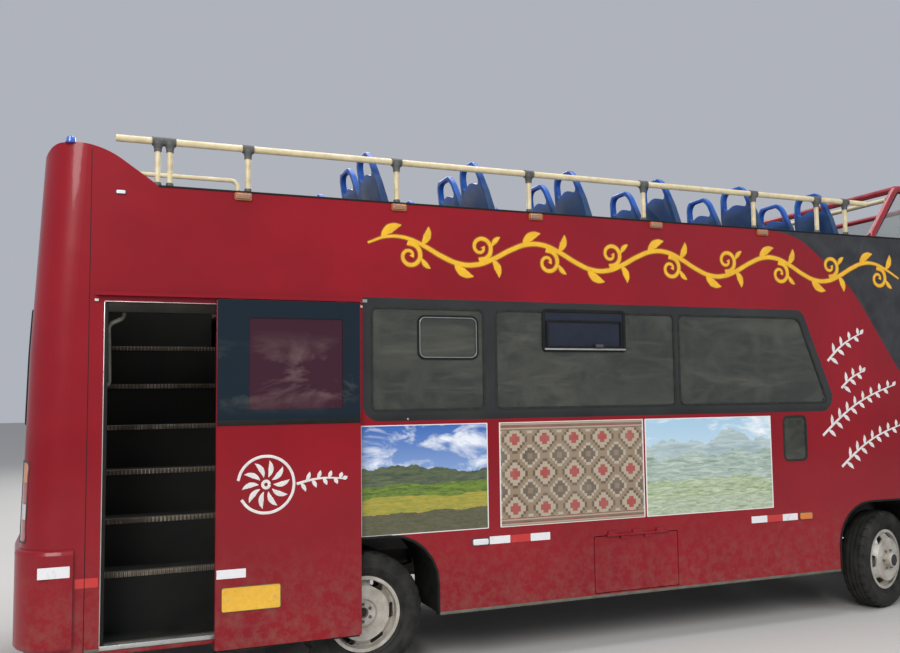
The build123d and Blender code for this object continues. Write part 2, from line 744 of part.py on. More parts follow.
window_seat_y = inside - 5 - seat_width / 2
aisle_seat_y = window_seat_y - seat_pair_pitch
seat_columns = (-window_seat_y, -aisle_seat_y, aisle_seat_y, window_seat_y)
upper_first_x = rear_axle_x + 220
lower_first_x = rear_axle_x + 1040
upper = [
    seat(upper_first_x + upper_row_pitch * row, y, deck_z, loop_top, True)
    for row in range(upper_rows) for y in seat_columns
]
lower = [
    seat(lower_first_x + lower_row_pitch * row, y, floor_z, plain_top, False)
    for row in range(lower_rows) for y in seat_columns
]
driver_y = inside - 390
parts["upper_seats"] = group(upper)
parts["lower_seats"] = group(lower)
parts["driver_seat"] = seat(front_seam_x - 530, driver_y, floor_z, 980, False)

# Dashboard and steering wheel
dash_rear_x = front_seam_x + 60
dash_front_x = front_seam_x + 400
dash_profile = [
    (dash_rear_x, floor_z, 0), (dash_front_x, floor_z, 0), (dash_front_x, floor_z + 520, 40),
    (dash_rear_x + 80, floor_z + 530, 40), (dash_rear_x - 40, floor_z + 380, 40),
]
dash = side_panel(dash_profile, (-inside + 210, inside - 210)) & front_inner
parts["dashboard"] = dash - block(cover_x, (-cover_half, cover_half), (0, cover_top_z))
wheel_centre = (front_seam_x - 60, driver_y, floor_z + 610)
column_foot = (front_seam_x + 80, driver_y, floor_z + 340)
wheel_tilt = Plane(origin=wheel_centre, z_dir=(-0.45, 0, 0.89))
steering_radius = 225
spokes = join(
    wheel_tilt * Rot(0, 0, angle) * Pos(steering_radius / 2, 0, 0) * Box(steering_radius, 30, 14)
    for angle in (0, 120, 240)
)
steering = wheel_tilt * Torus(steering_radius, 15) + spokes + rod(wheel_centre, column_foot, 25)
parts["steering_wheel"] = steering - parts["dashboard"]

# Mirrors on arms at the front corners
mirror_y = half_width + 115
mirror_x = front_seam_x + 220
arm_z = band_top_z - 234
mirror_arm = bent_tube(
    [
        (front_seam_x + 60, -half_width, arm_z), (front_seam_x + 60, -half_width - 60, arm_z),
        (mirror_x, -mirror_y, arm_z), (mirror_x, -mirror_y, arm_z - 400),
    ],
    [40, 60], 11,
)
mirror_head = cross_panel(
    rounded_rectangle((-mirror_y - 85, -mirror_y + 80), (arm_z - 590, arm_z - 250), 45), around(mirror_x, 30)
)
one_mirror = mirror_arm + mirror_head
parts["door_mirrors"] = group([one_mirror, other_side(one_mirror)])

# Chassis frame: two channel rails, with cross members and floor bearers between and outside them
channel = [
    (-rail_out, frame_low_z), (-rail_out + flange, frame_low_z), (-rail_out + flange, frame_low_z + web),
    (-rail_out + web, frame_low_z + web), (-rail_out + web, frame_high_z - web),
    (-rail_out + flange, frame_high_z - web), (-rail_out + flange, frame_high_z), (-rail_out, frame_high_z),
]
frame_rail = cross_panel([(y, z, 0) for y, z in channel], (rear_seam_x - 60, front_seam_x + 280))
parts["chassis_frame"] = group([frame_rail, other_side(frame_rail)])

member_stations = [rear_seam_x - 10, front_seam_x + 220]
member_stations += [rear_axle_x + offset for offset in (-650, 750, 1650, 2550, 3450)]
member_half_y = rail_out - web
member_z = (frame_high_z - 110, frame_high_z - 30)
members = [block(around(x, 30), (-member_half_y, member_half_y), member_z) for x in member_stations]
engine_pad_y = engine_half - 60
for station in (engine_x[0] + 150, engine_x[1] - 150):
    beam = block(around(station, 30), (-rail_out, rail_out), (frame_low_z - 40, frame_low_z))
    pad = block(around(station, 30), around(engine_pad_y, 40), (frame_low_z, engine_z[0]))
    members.append(beam + pad + other_side(pad))
bearer_z = (frame_high_z - 60, frame_high_z)
bearer_stations = [rear_axle_x - 600, rear_axle_x + 700, rear_axle_x + 1500]
bearer_stations += [front_axle_x - 1530, front_axle_x - 1030, front_axle_x - 580]
for station in bearer_stations:
    bearer = block(around(station, 25), (-inside, -rail_out), bearer_z)
    members += [bearer, other_side(bearer)]
parts["cross_members"] = group(members)

# Towing eyes: plates on the outer faces of the rails, each drilled across
eye_radius = 20
eye_plate = 25
eye_rim = 45
eye_z = frame_low_z - 190
plate_y = (-rail_out - eye_plate, -rail_out)
tow_plates = []
# Columns: end of the plate on the rail, outer end, eye
for inner_x, outer_x, eye_x in (
    (front_seam_x + 120, front_end_x - 149, front_end_x - 199),
    (rear_seam_x + 40, rear_end_x + 134, rear_end_x + 184),
):
    arm_x = eye_x - eye_rim if eye_x > inner_x else eye_x + eye_rim
    low_z = eye_z - eye_rim
    high_z = frame_high_z - 50
    plate = side_panel(
        [
            (inner_x, high_z, 20), (outer_x, high_z, 20), (outer_x, low_z, 30),
            (arm_x, low_z, 30), (arm_x, frame_low_z + 10, 20), (inner_x, frame_low_z + 10, 20),
        ],
        plate_y,
    )
    plate = plate - rod((eye_x, plate_y[0] - cut, eye_z), (eye_x, plate_y[1] + cut, eye_z), eye_radius)
    tow_plates += [plate, other_side(plate)]
parts["towing_eyes"] = group(tow_plates)

# Engine, propeller shaft, exhaust and fuel tank
diff_radius = 165
shaft_start = (engine_x[0] - 1.6, 0, engine_z[0] + 40)
shaft_end = (rear_axle_x + diff_radius - 0.2, 0, axle_z + 16.5)
parts["engine_block"] = block(engine_x, (-engine_half, engine_half), engine_z)
parts["propeller_shaft"] = rod(shaft_start, shaft_end, 38)
tank_x = (front_axle_x - 1630, front_axle_x - 880)
tank_y = (rail_out + 70, rail_out + 570)
parts["fuel_tank"] = side_panel(rounded_rectangle(tank_x, (frame_low_z - 100, bearer_z[0]), 60), tank_y)
exhaust_radius = 32
exhaust_y = -(engine_half - exhaust_radius - 2)
exhaust_high_z = axle_z + 146.5
exhaust_low_z = axle_z - 83.5
exhaust_route = [
    (engine_x[0] - seat_gap, exhaust_y, exhaust_high_z), (rear_seam_x + 290, exhaust_y, exhaust_high_z),
    (rear_seam_x + 40, exhaust_y, exhaust_low_z), (rear_end_x + 74, exhaust_y, exhaust_low_z),
]
parts["exhaust_pipe"] = bent_tube(exhaust_route, 150, exhaust_radius)

# Rear axle: a tube with the differential housing, and spindles that carry the wheels
spindle_radius = 40
axle_tube_radius = 62
axle_tube_y = rear_mid_y - 285
rear_tube = rod((rear_axle_x, -axle_tube_y, axle_z), (rear_axle_x, axle_tube_y, axle_z), axle_tube_radius)
housing = Pos(rear_axle_x, 0, axle_z) * Sphere(diff_radius)
spindle = rod((rear_axle_x, -rear_mid_y - 75, axle_z), (rear_axle_x, -axle_tube_y, axle_z), spindle_radius)
parts["rear_axle"] = rear_tube + housing + spindle + other_side(spindle)

# Front axle beam, with an upright eye at each end for the kingpin
boss_radius = 45
boss_half = 70
beam_z = (axle_z - 115, axle_z - 15)
beam_half = kingpin_y - 80
beam = side_panel(rounded_rectangle(around(front_axle_x, 45), beam_z, 12), (-beam_half, beam_half))
boss_z = around(axle_z, boss_half)
boss = rod((front_axle_x, -kingpin_y, boss_z[0]), (front_axle_x, -kingpin_y, boss_z[1]), boss_radius)
boss_arm_y = (-kingpin_y + 20, -kingpin_y + 100)
boss = boss + block(around(front_axle_x, 40), boss_arm_y, (boss_z[0], axle_z - 10))
parts["front_axle_beam"] = beam + boss + other_side(boss)

# Knuckles: a fork round the eye, with the stub axle on its outer side
fork_gap = 0.4
fork_half = 110
lug_radius = 48
stub_radius = 34


def knuckle_shape():
    back_y = (-kingpin_y - 90, -kingpin_y - 52)
    shape = block(around(front_axle_x, lug_radius), back_y, around(axle_z, fork_half))
    for side in (-1, 1):
        lug_z = sorted((axle_z + side * fork_half, axle_z + side * (boss_half + fork_gap)))
        lug_ends = [(front_axle_x, -kingpin_y, z) for z in lug_z]
        shape = shape + rod(*lug_ends, lug_radius)
        shape = shape + block(around(front_axle_x, lug_radius), (-kingpin_y - 60, -kingpin_y), lug_z)
    stub_start = (front_axle_x, -kingpin_y - kingpin_offset - 90, axle_z)
    return shape + rod(stub_start, (front_axle_x, -kingpin_y - 80, axle_z), stub_radius)


# Wheels, each made about its own centre and then put on its axle
def tyre():
    half = tyre_width / 2
    bead = rim_width / 2 - 2
    # The right half of the section, from the bead to the middle of the tread. Columns: radius, offset.
    side = [
        (rim_radius, bead), (rim_flange_radius + 18, bead), (rim_flange_radius + 40, half - 12),
        (tyre_radius - 73, half), (tyre_radius - 33, half - 6),
        (tyre_radius - 8, half - 22), (tyre_radius, half - 42),
    ]
    return turned([(r, -a) for r, a in side] + side[::-1])


def rim_barrel():
    half = rim_width / 2
    side = [
        (rim_radius - 8, half + 3), (rim_flange_radius, half + 3),
        (rim_flange_radius, half - 2), (rim_radius, half - 2),
    ]
    return turned([(r, -a) for r, a in side] + side[::-1])


slot_count = 6
slot_radius = 188
slot_size = (36, 96)


def slotted(disc, offset):
    # A ring of rounded slots cut through along the axle
    slot = Rot(90, 0, 0) * extrude(RectangleRounded(*slot_size, 14), amount=100, both=True)
    for number in range(slot_count):
        disc = disc - Rot(0, 360 / slot_count * number, 0) * Pos(slot_radius, offset, 0) * slot
    return disc


def wheel_disc(offset, facing, depth):
    # A dished plate from the barrel to the hub face
    profile = [
        (rim_radius - 8, 0), (rim_radius - 8, 10), (rim_radius - 22, 12), (168, depth + 8), (60, depth + 8),
        (60, depth), (164, depth), (rim_radius - 26, 2),
    ]
    return slotted(turned([(r, a * facing) for r, a in profile], offset), offset)


def wheel_trim():
    # A convex cover on the outer rear wheel, stepped round the hub and open at its centre
    front = [
        (rim_radius - 8, -142), (rim_radius - 22, -145), (170, -177), (92, -182),
        (87, -172), (36, -170), (31, -156),
    ]
    back = [
        (38, -156), (42, -165), (80, -167), (84, -177), (167, -172), (rim_radius - 25, -139), (rim_radius - 8, -136),
    ]
    return slotted(turned(front + back), -150)


rear_bore = spindle_radius + seat_gap
front_bore = stub_radius + seat_gap
rear_hub = [
    (rear_bore, 120), (120, 120), (120, 8), (105, 8), (105, -40), (80, -120), (80, -142), (72, -150),
    (0, -150), (0, -90), (rear_bore, -90),
]
front_hub = [
    (front_bore, 60), (110, 60), (110, -60), (95, -93), (95, -101), (60, -101), (57, -142), (49, -150),
    (0, -150), (0, -95), (front_bore, -95),
]


def right_rear_wheel():
    barrels = Pos(0, -twin_spacing / 2, 0) * rim_barrel() + Pos(0, twin_spacing / 2, 0) * rim_barrel()
    discs = wheel_disc(-60, 1, 52) + wheel_disc(60, -1, 52) + wheel_trim()
    return barrels + discs + turned(rear_hub)


def right_front_rim():
    return rim_barrel() + wheel_disc(-48, -1, 45) + turned(front_hub)


rear_place = Pos(rear_axle_x, -rear_mid_y, axle_z)
rear_rims = rear_place * right_rear_wheel()
rear_tyres = [rear_place * Pos(0, side * twin_spacing / 2, 0) * tyre() for side in (-1, 1)]
parts["rear_right_rims"] = rear_rims
parts["rear_left_rims"] = other_side(rear_rims)
parts["rear_right_tyres"] = group(rear_tyres)
parts["rear_left_tyres"] = group([other_side(one) for one in rear_tyres])


def steered(shape, pivot_y):
    turn = Pos(front_axle_x, pivot_y, 0) * Rot(0, 0, steer_at_rest) * Pos(-front_axle_x, -pivot_y, 0)
    return turn * shape


front_place = Pos(front_axle_x, -front_wheel_y, axle_z)
straight = {
    "knuckle": knuckle_shape(),
    "rim": front_place * right_front_rim(),
    "tyre": front_place * tyre(),
}
for name, shape in straight.items():
    parts["front_right_" + name] = steered(shape, -kingpin_y)
    parts["front_left_" + name] = steered(other_side(shape), kingpin_y)

# Leaf springs outside the rails: each pack of curved leaves sits on a pad on its axle
# and hangs from two brackets on the rail
spring_y = rail_out + 70
spring_half_width = 35
spring_curve = 2400
leaf_thickness = 14
leaf_half_spans = (180, 300, 430, 560)
pad_height = 14
spring_width = (-spring_y - spring_half_width, -spring_y + spring_half_width)


def leaf_spring(axle_x, axle_top_z):
    low_z = axle_top_z + pad_height
    centre_z = low_z + spring_curve
    start_y, end_y = spring_width
    spring = block(around(axle_x, 40), spring_width, (axle_top_z, low_z + 2))
    for number, half_span in enumerate(leaf_half_spans):
        radius = spring_curve - leaf_thickness * number
        ring = rod((axle_x, start_y, centre_z), (axle_x, end_y, centre_z), radius)
        ring = ring - rod((axle_x, start_y, centre_z), (axle_x, end_y, centre_z), radius - leaf_thickness)
        spring = spring + (ring & block(around(axle_x, half_span), spring_width, (low_z - cut, low_z + 300)))
    end_z = (low_z + 112, low_z + 195)
    for x in (axle_x - leaf_half_spans[-1] + 25, axle_x + leaf_half_spans[-1] - 25):
        spring = spring + block(around(x, 25), (start_y, -rail_out), end_z)
    return spring


springs = [leaf_spring(rear_axle_x, axle_z + axle_tube_radius), leaf_spring(front_axle_x, beam_z[1])]
parts["leaf_springs"] = group([side for spring in springs for side in (spring, other_side(spring))])

os.makedirs("parts", exist_ok=True)
for name, shape in parts.items():
    export_step(shape, f"parts/{name}.step")
    print(name, len(shape.solids()))
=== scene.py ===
import json
import math

import bpy
from mathutils import Matrix, Vector


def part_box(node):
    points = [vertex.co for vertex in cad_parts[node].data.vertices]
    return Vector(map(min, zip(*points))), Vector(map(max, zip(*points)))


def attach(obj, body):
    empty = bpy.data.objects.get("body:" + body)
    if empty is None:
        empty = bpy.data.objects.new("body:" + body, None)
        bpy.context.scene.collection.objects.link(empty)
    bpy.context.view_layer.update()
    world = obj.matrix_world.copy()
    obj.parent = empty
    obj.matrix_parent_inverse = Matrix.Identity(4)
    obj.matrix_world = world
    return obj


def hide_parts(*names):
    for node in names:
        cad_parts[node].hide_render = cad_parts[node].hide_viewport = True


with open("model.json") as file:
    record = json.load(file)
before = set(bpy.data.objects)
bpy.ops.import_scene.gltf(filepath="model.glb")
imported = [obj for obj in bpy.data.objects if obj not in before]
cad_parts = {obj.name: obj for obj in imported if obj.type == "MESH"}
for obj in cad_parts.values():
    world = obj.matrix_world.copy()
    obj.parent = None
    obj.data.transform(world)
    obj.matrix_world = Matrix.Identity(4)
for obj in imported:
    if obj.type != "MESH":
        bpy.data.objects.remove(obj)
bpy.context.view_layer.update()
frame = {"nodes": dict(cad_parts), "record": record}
cadNodes = frame["nodes"]
print("frame loaded,", len(cadNodes), "nodes")


# Small helpers for editing by hand

leftSide = Matrix.Scale(-1, 4, (0, 1, 0))


def deselectAll():
    if bpy.context.mode != "OBJECT":
        bpy.ops.object.mode_set(mode="OBJECT")
    bpy.ops.object.select_all(action="DESELECT")


def makeActive(*pieces):
    deselectAll()
    for piece in pieces:
        piece.select_set(True)
    bpy.context.view_layer.objects.active = pieces[0]


def startEdit(piece, kind):
    # opens the piece with nothing selected, in vertex, edge or face mode
    makeActive(piece)
    bpy.context.tool_settings.mesh_select_mode = (kind == "VERT", kind == "EDGE", kind == "FACE")
    for part in (piece.data.vertices, piece.data.edges, piece.data.polygons):
        part.foreach_set("select", [False] * len(part))


def editFaces(piece, test):
    startEdit(piece, "FACE")
    for face in piece.data.polygons:
        face.select = test(face.center, face.normal)
    bpy.ops.object.mode_set(mode="EDIT")


def editEdges(piece, test):
    startEdit(piece, "EDGE")
    points = piece.data.vertices
    for edge in piece.data.edges:
        start, end = (points[index].co for index in edge.vertices)
        edge.select = test(start, end)
    bpy.ops.object.mode_set(mode="EDIT")


def editVerts(piece, test):
    startEdit(piece, "VERT")
    for point in piece.data.vertices:
        point.select = test(point.co)
    bpy.ops.object.mode_set(mode="EDIT")


def endEdit():
    bpy.ops.object.mode_set(mode="OBJECT")


def settle(piece, angle=35):
    # place goes into the mesh, sharp edges stay sharp
    makeActive(piece)
    bpy.ops.object.transform_apply(location=True, rotation=True, scale=True)
    bpy.ops.object.shade_smooth_by_angle(angle=math.radians(angle))
    return piece


def applyModifier(piece, kind, **settings):
    makeActive(piece)
    modifier = piece.modifiers.new(kind.lower(), kind)
    for key, value in settings.items():
        setattr(modifier, key, value)
    bpy.ops.object.modifier_apply(modifier=modifier.name)


def copyPiece(piece, name, matrix=None):
    twin = piece.copy()
    twin.data = piece.data.copy()
    twin.name = name
    bpy.context.scene.collection.objects.link(twin)
    if matrix:
        twin.data.transform(matrix)
    return twin


def moveLeft(piece):
    # turns a right-hand piece into the left-hand one
    piece.data.transform(leftSide)
    piece.data.flip_normals()
    return piece


def mirrored(piece, name):
    return moveLeft(copyPiece(piece, name))


def joinPieces(pieces, name):
    makeActive(*pieces)
    if len(pieces) > 1:
        bpy.ops.object.join()
    whole = bpy.context.view_layer.objects.active
    whole.name = name
    whole.data.name = name
    return whole


def finishPiece(piece, material, slot, body="bus_body"):
    piece.data.materials.clear()
    piece.data.materials.append(material)
    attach(piece, body)
    return piece


def finishPair(piece, leftName, material, slot):
    # the same finish on a piece and on its twin across the bus
    finishPiece(mirrored(piece, leftName), material, slot)
    finishPiece(piece, material, slot)


def easeEdges(piece, width):
    applyModifier(piece, "BEVEL", width=width, segments=2, limit_method="ANGLE")


def cutAway(piece, cutter):
    applyModifier(piece, "BOOLEAN", object=cutter, operation="DIFFERENCE", solver="EXACT")
    bpy.data.objects.remove(cutter)


def shrunk(span, edge):
    # a span drawn in at both ends, or let out if the edge is below zero
    return (span[0] + edge, span[1] - edge)


def addBox(name, low, high, bevel=0.0, segments=2):
    deselectAll()
    middle = [(a + b) / 2 for a, b in zip(low, high)]
    bpy.ops.mesh.primitive_cube_add(size=1, location=middle)
    piece = bpy.context.object
    piece.name = name
    piece.scale = [b - a for a, b in zip(low, high)]
    bpy.ops.object.transform_apply(location=True, rotation=True, scale=True)
    if bevel:
        applyModifier(piece, "BEVEL", width=bevel, segments=segments, limit_method="NONE")
    return piece


def spanBox(name, x, y, z, bevel=0.0, segments=2):
    return addBox(name, (x[0], y[0], z[0]), (x[1], y[1], z[1]), bevel, segments)


def roundedPlate(name, x, y, z, radius, rake=0.0, bevel=0.0):
    # a plate square to Y with rounded corners; rake draws its top front corner back
    near = 1e-5
    piece = spanBox(name, x, y, z)
    if rake:
        editVerts(piece, lambda p: p.x > x[1] - near and p.z > z[1] - near)
        bpy.ops.transform.translate(value=(-rake, 0, 0))
        endEdit()
    editEdges(piece, lambda a, b: abs(a.y - b.y) > near)
    bpy.ops.mesh.bevel(offset=radius, segments=6, affect="EDGES")
    endEdit()
    if bevel:
        easeEdges(piece, bevel)
    return piece


def domedPlate(name, x, y, z, radius, dome):
    # a rounded plate whose outer face is drawn in round its rim
    piece = roundedPlate(name, x, y, z, radius)
    editFaces(piece, lambda c, n: n.y < -0.9)
    bpy.ops.mesh.bevel(offset=dome, segments=3, affect="EDGES")
    endEdit()
    return settle(piece)


def ringPlate(name, x, y, z, radius, width, rake=0.0, bevel=0.0):
    # a rounded plate with an opening, such as a rubber or a frame
    piece = roundedPlate(name, x, y, z, radius, rake)
    editFaces(piece, lambda c, n: abs(n.y) > 0.9)
    bpy.ops.mesh.inset(thickness=width)
    bpy.ops.mesh.bridge_edge_loops()
    endEdit()
    if bevel:
        easeEdges(piece, bevel)
    return piece


def turnedPiece(name, profile, centre, steps=64):
    # spins a chain of (radius, offset) points round a line along Y through the centre
    deselectAll()
    bpy.ops.mesh.primitive_plane_add(size=0.01, location=centre)
    piece = bpy.context.object
    piece.name = name
    bpy.context.tool_settings.mesh_select_mode = (True, False, False)
    bpy.ops.object.mode_set(mode="EDIT")
    bpy.ops.mesh.select_all(action="SELECT")
    bpy.ops.mesh.merge(type="CENTER")
    first = Vector((profile[0][0], profile[0][1], 0))
    bpy.ops.transform.translate(value=first)
    for (radius, offset), (nextRadius, nextOffset) in zip(profile, profile[1:]):
        step = (nextRadius - radius, nextOffset - offset, 0)
        bpy.ops.mesh.extrude_vertices_move(TRANSFORM_OT_translate={"value": step})
    bpy.ops.mesh.select_all(action="SELECT")
    bpy.ops.mesh.spin(steps=steps, angle=2 * math.pi, center=centre, axis=(0, 1, 0))
    bpy.ops.mesh.select_all(action="SELECT")
    bpy.ops.mesh.remove_doubles(threshold=1e-5)
    bpy.ops.mesh.normals_make_consistent(inside=False)
    endEdit()
    return settle(piece)


def curveThrough(name, points, shares, radius, sides, resolution):
    # a round tube through a list of points, with a share of its radius at each, made a mesh
    deselectAll()
    bpy.ops.curve.primitive_bezier_curve_add(location=(0, 0, 0))
    path = bpy.context.object
    path.name = name
    path.data.splines.clear()
    spline = path.data.splines.new("BEZIER")
    spline.bezier_points.add(len(points) - 1)
    for knot, place, share in zip(spline.bezier_points, points, shares):
        knot.co = place
        knot.radius = share
        knot.handle_left_type = knot.handle_right_type = "AUTO"
    path.data.dimensions = "3D"
    path.data.bevel_depth = radius
    path.data.bevel_resolution = sides
    path.data.resolution_u = resolution
    path.data.use_fill_caps = True
    makeActive(path)
    bpy.ops.object.convert(target="MESH")
    return bpy.context.object


def tubeAlong(name, points, radius, resolution=6):
    return settle(curveThrough(name, points, [1] * len(points), radius, 3, resolution))


# Small helpers for materials

def addNode(tree, kind, inputs=None, **settings):
    made = tree.nodes.new("ShaderNode" + kind)
    for key, value in settings.items():
        setattr(made, key, value)
    for key, value in (inputs or {}).items():
        if isinstance(value, bpy.types.NodeSocket):
            tree.links.new(value, made.inputs[key])
        else:
            made.inputs[key].default_value = value
    return made


def newFinish(name, **sockets):
    # a Principled material; a socket that stays the same all over is set here, so coatWeight is Coat Weight
    material = bpy.data.materials.new(name)
    material.use_nodes = True
    tree = material.node_tree
    shader = tree.nodes["Principled BSDF"]
    for key, value in sockets.items():
        label = "".join(" " + letter if letter.isupper() else letter for letter in key)
        label = {"i O R": "IOR", "specular": "Specular IOR Level"}.get(label, label[0].upper() + label[1:])
        shader.inputs[label].default_value = value
    return material, tree, shader


def objectPlace(tree, scale=None):
    coords = addNode(tree, "TexCoord").outputs["Object"]
    return addNode(tree, "Mapping", {"Vector": coords, "Scale": scale}).outputs[0] if scale else coords


def noiseOf(tree, place, scale, detail=3.0, roughness=0.55, distortion=0.0):
    inputs = {"Vector": place, "Scale": scale, "Detail": detail, "Roughness": roughness}
    return addNode(tree, "TexNoise", {**inputs, "Distortion": distortion}).outputs["Fac"]


def rampOf(tree, factor, *stops):
    made = addNode(tree, "ValToRGB", {"Fac": factor})
    marks = made.color_ramp.elements
    while len(marks) < len(stops):
        marks.new(0.5)
    for mark, (place, colour) in zip(marks, stops):
        mark.position = place
        mark.color = (*colour, 1)
    return made.outputs["Color"]


def spread(tree, value, low, high, start=0.0, end=1.0):
    # maps low to high onto start to end, held at both ends
    inputs = {"Value": value, "From Min": low, "From Max": high, "To Min": start, "To Max": end}
    return addNode(tree, "MapRange", inputs).outputs[0]


def mixOf(tree, factor, first, second):
    first = (*first, 1) if isinstance(first, tuple) else first
    second = (*second, 1) if isinstance(second, tuple) else second
    inputs = {0: factor, 6: first, 7: second}
    return addNode(tree, "Mix", inputs, data_type="RGBA").outputs[2]


def mathOf(tree, operation, first, second=0.0):
    return addNode(tree, "Math", {0: first, 1: second}, operation=operation).outputs[0]


def times(tree, first, second):
    return mathOf(tree, "MULTIPLY", first, second)


def plus(tree, first, second):
    return mathOf(tree, "ADD", first, second)


def less(tree, first, second):
    return mathOf(tree, "SUBTRACT", first, second)


def ribsOf(tree, value, count):
    # an even wave, count radians to the metre
    return mathOf(tree, "SINE", times(tree, value, count))


def axesOf(tree, place):
    return addNode(tree, "SeparateXYZ", {0: place}).outputs


def bumpOf(tree, shader, height, strength, distance):
    made = addNode(tree, "Bump", {"Height": height, "Strength": strength, "Distance": distance})
    tree.links.new(made.outputs[0], shader.inputs["Normal"])


def wire(tree, socket, shader, name):
    tree.links.new(socket, shader.inputs[name])


# Camera at the photograph's place, and a plain studio

cameraView = {
    "place": (-3.62204, -6.66085, 1.7553),
    "heading": 0.379908,  # from +Y towards +X, radians
    "pitch": 0.0757024,
    "roll": -0.0121115,
    "lens": 35.941,
    "sensor": 36.0,
    "clipEnd": 200,
}


def addCamera():
    heading, pitch, roll = cameraView["heading"], cameraView["pitch"], cameraView["roll"]
    level = math.cos(pitch)
    ahead = Vector((math.sin(heading) * level, math.cos(heading) * level, math.sin(pitch)))
    flat = Vector((math.cos(heading), -math.sin(heading), 0))
    over = flat.cross(ahead)
    right = flat * math.cos(roll) + over * math.sin(roll)
    up = over * math.cos(roll) - flat * math.sin(roll)
    data = bpy.data.cameras.new("photoCamera")
    data.lens = cameraView["lens"]
    data.sensor_width = cameraView["sensor"]
    data.clip_end = cameraView["clipEnd"]
    camera = bpy.data.objects.new("photoCamera", data)
    bpy.context.scene.collection.objects.link(camera)
    turn = Matrix((right, up, -ahead)).transposed().to_4x4()
    camera.matrix_world = Matrix.Translation(cameraView["place"]) @ turn
    bpy.context.scene.camera = camera


studio = {
    "floorSize": 140,
    "floorColour": (0.52, 0.51, 0.49),
    "floorShade": 0.97,  # the darker patches, as a share of the colour
    "skyColour": (0.86, 0.9, 1.0),
    "skyStrength": 0.5,
    "lamps": [  # name, place, aimed at, size, watts, colour
        ("keyLight", (-9, -12, 10), (-0.5, 0, 1.6), 9, 1750, (1.0, 0.97, 0.93)),
        ("fillLight", (12, -13, 9), (1, 0, 1.5), 12, 800, (0.93, 0.96, 1.0)),
        ("farLight", (2, 14, 10), (0, 0, 1.8), 10, 1200, (1.0, 0.98, 0.95)),
        ("topLight", (0, 0, 12), (0, 0, 2.4), 9, 800, (1.0, 1.0, 1.0)),
    ],
}


def addStudio():
    scene = bpy.context.scene
    world = bpy.data.worlds.new("studioSky")
    scene.world = world
    world.use_nodes = True
    tree = world.node_tree
    sky = next(node for node in tree.nodes if node.type == "BACKGROUND")
    sky.inputs["Color"].default_value = (*studio["skyColour"], 1)
    sky.inputs["Strength"].default_value = studio["skyStrength"]
    deselectAll()
    bpy.ops.mesh.primitive_plane_add(size=studio["floorSize"], location=(0, 0, 0))
    floor = bpy.context.object
    floor.name = "studioFloor"
    material, tree, shader = newFinish("paleFloor", roughness=0.85)
    shade = noiseOf(tree, objectPlace(tree), 0.8, 2)
    low = tuple(part * studio["floorShade"] for part in studio["floorColour"])
    wire(tree, mixOf(tree, shade, low, studio["floorColour"]), shader, "Base Color")
    floor.data.materials.append(material)
    for name, place, target, size, watts, colour in studio["lamps"]:
        light = bpy.data.lights.new(name, "AREA")
        light.shape = "DISK"
        light.size = size
        light.energy = watts
        light.color = colour
        lamp = bpy.data.objects.new(name, light)
        scene.collection.objects.link(lamp)
        lamp.location = place
        lamp.visible_glossy = name != "fillLight"  # its glare would wash out the dark glass
        lamp.rotation_euler = (Vector(target) - Vector(place)).to_track_quat("-Z", "Y").to_euler()
    scene.view_settings.view_transform = "Standard"


addCamera()
addStudio()
print("camera and studio ready")


# Paintwork: crimson with a charcoal sweep over the front

paintwork = {
    "crimson": (0.270, 0.0045, 0.0130),
    "deepCrimson": (0.205, 0.0035, 0.0100),
    "charcoal": (0.020, 0.021, 0.024),
    "ashGrey": (0.042, 0.043, 0.047),
    "roadDust": (0.20, 0.15, 0.11),
    "sweepEdge": [  # height, then how far forward the charcoal starts
        (1.10, 4.90), (1.18, 4.04), (1.24, 3.60), (1.36, 3.10), (1.55, 2.85), (1.887, 2.574),
        (2.259, 2.308), (2.453, 2.170), (2.601, 2.040), (2.748, 1.848), (2.869, 1.689), (2.957, 1.531),
        (3.0, 1.32), (3.012, 0.61),
    ],
    "sweepHeights": (1.10, 3.012),
    "sweepReach": (0.4, 5.0),
    "sweepBlur": 0.003,
    "dustHeights": (0.95, 0.34),  # none above the first, all of it at the second
    "dustMost": 0.42,
}


def sweepMask(tree, along, height):
    lowZ, highZ = paintwork["sweepHeights"]
    lowX, highX = paintwork["sweepReach"]
    level = spread(tree, height, lowZ, highZ)
    curve = addNode(tree, "FloatCurve", {"Value": level})
    line = curve.mapping.curves[0]
    marks = [((z - lowZ) / (highZ - lowZ), (x - lowX) / (highX - lowX)) for z, x in paintwork["sweepEdge"]]
    for place, value in marks[1:-1]:
        line.points.new(place, value)
    for point, (place, value) in zip(line.points, marks):
        point.location = (place, value)
        point.handle_type = "AUTO_CLAMPED"
    curve.mapping.update()
    edge = spread(tree, curve.outputs[0], 0, 1, lowX, highX)
    past = less(tree, along, edge)
    return spread(tree, past, -paintwork["sweepBlur"], paintwork["sweepBlur"])


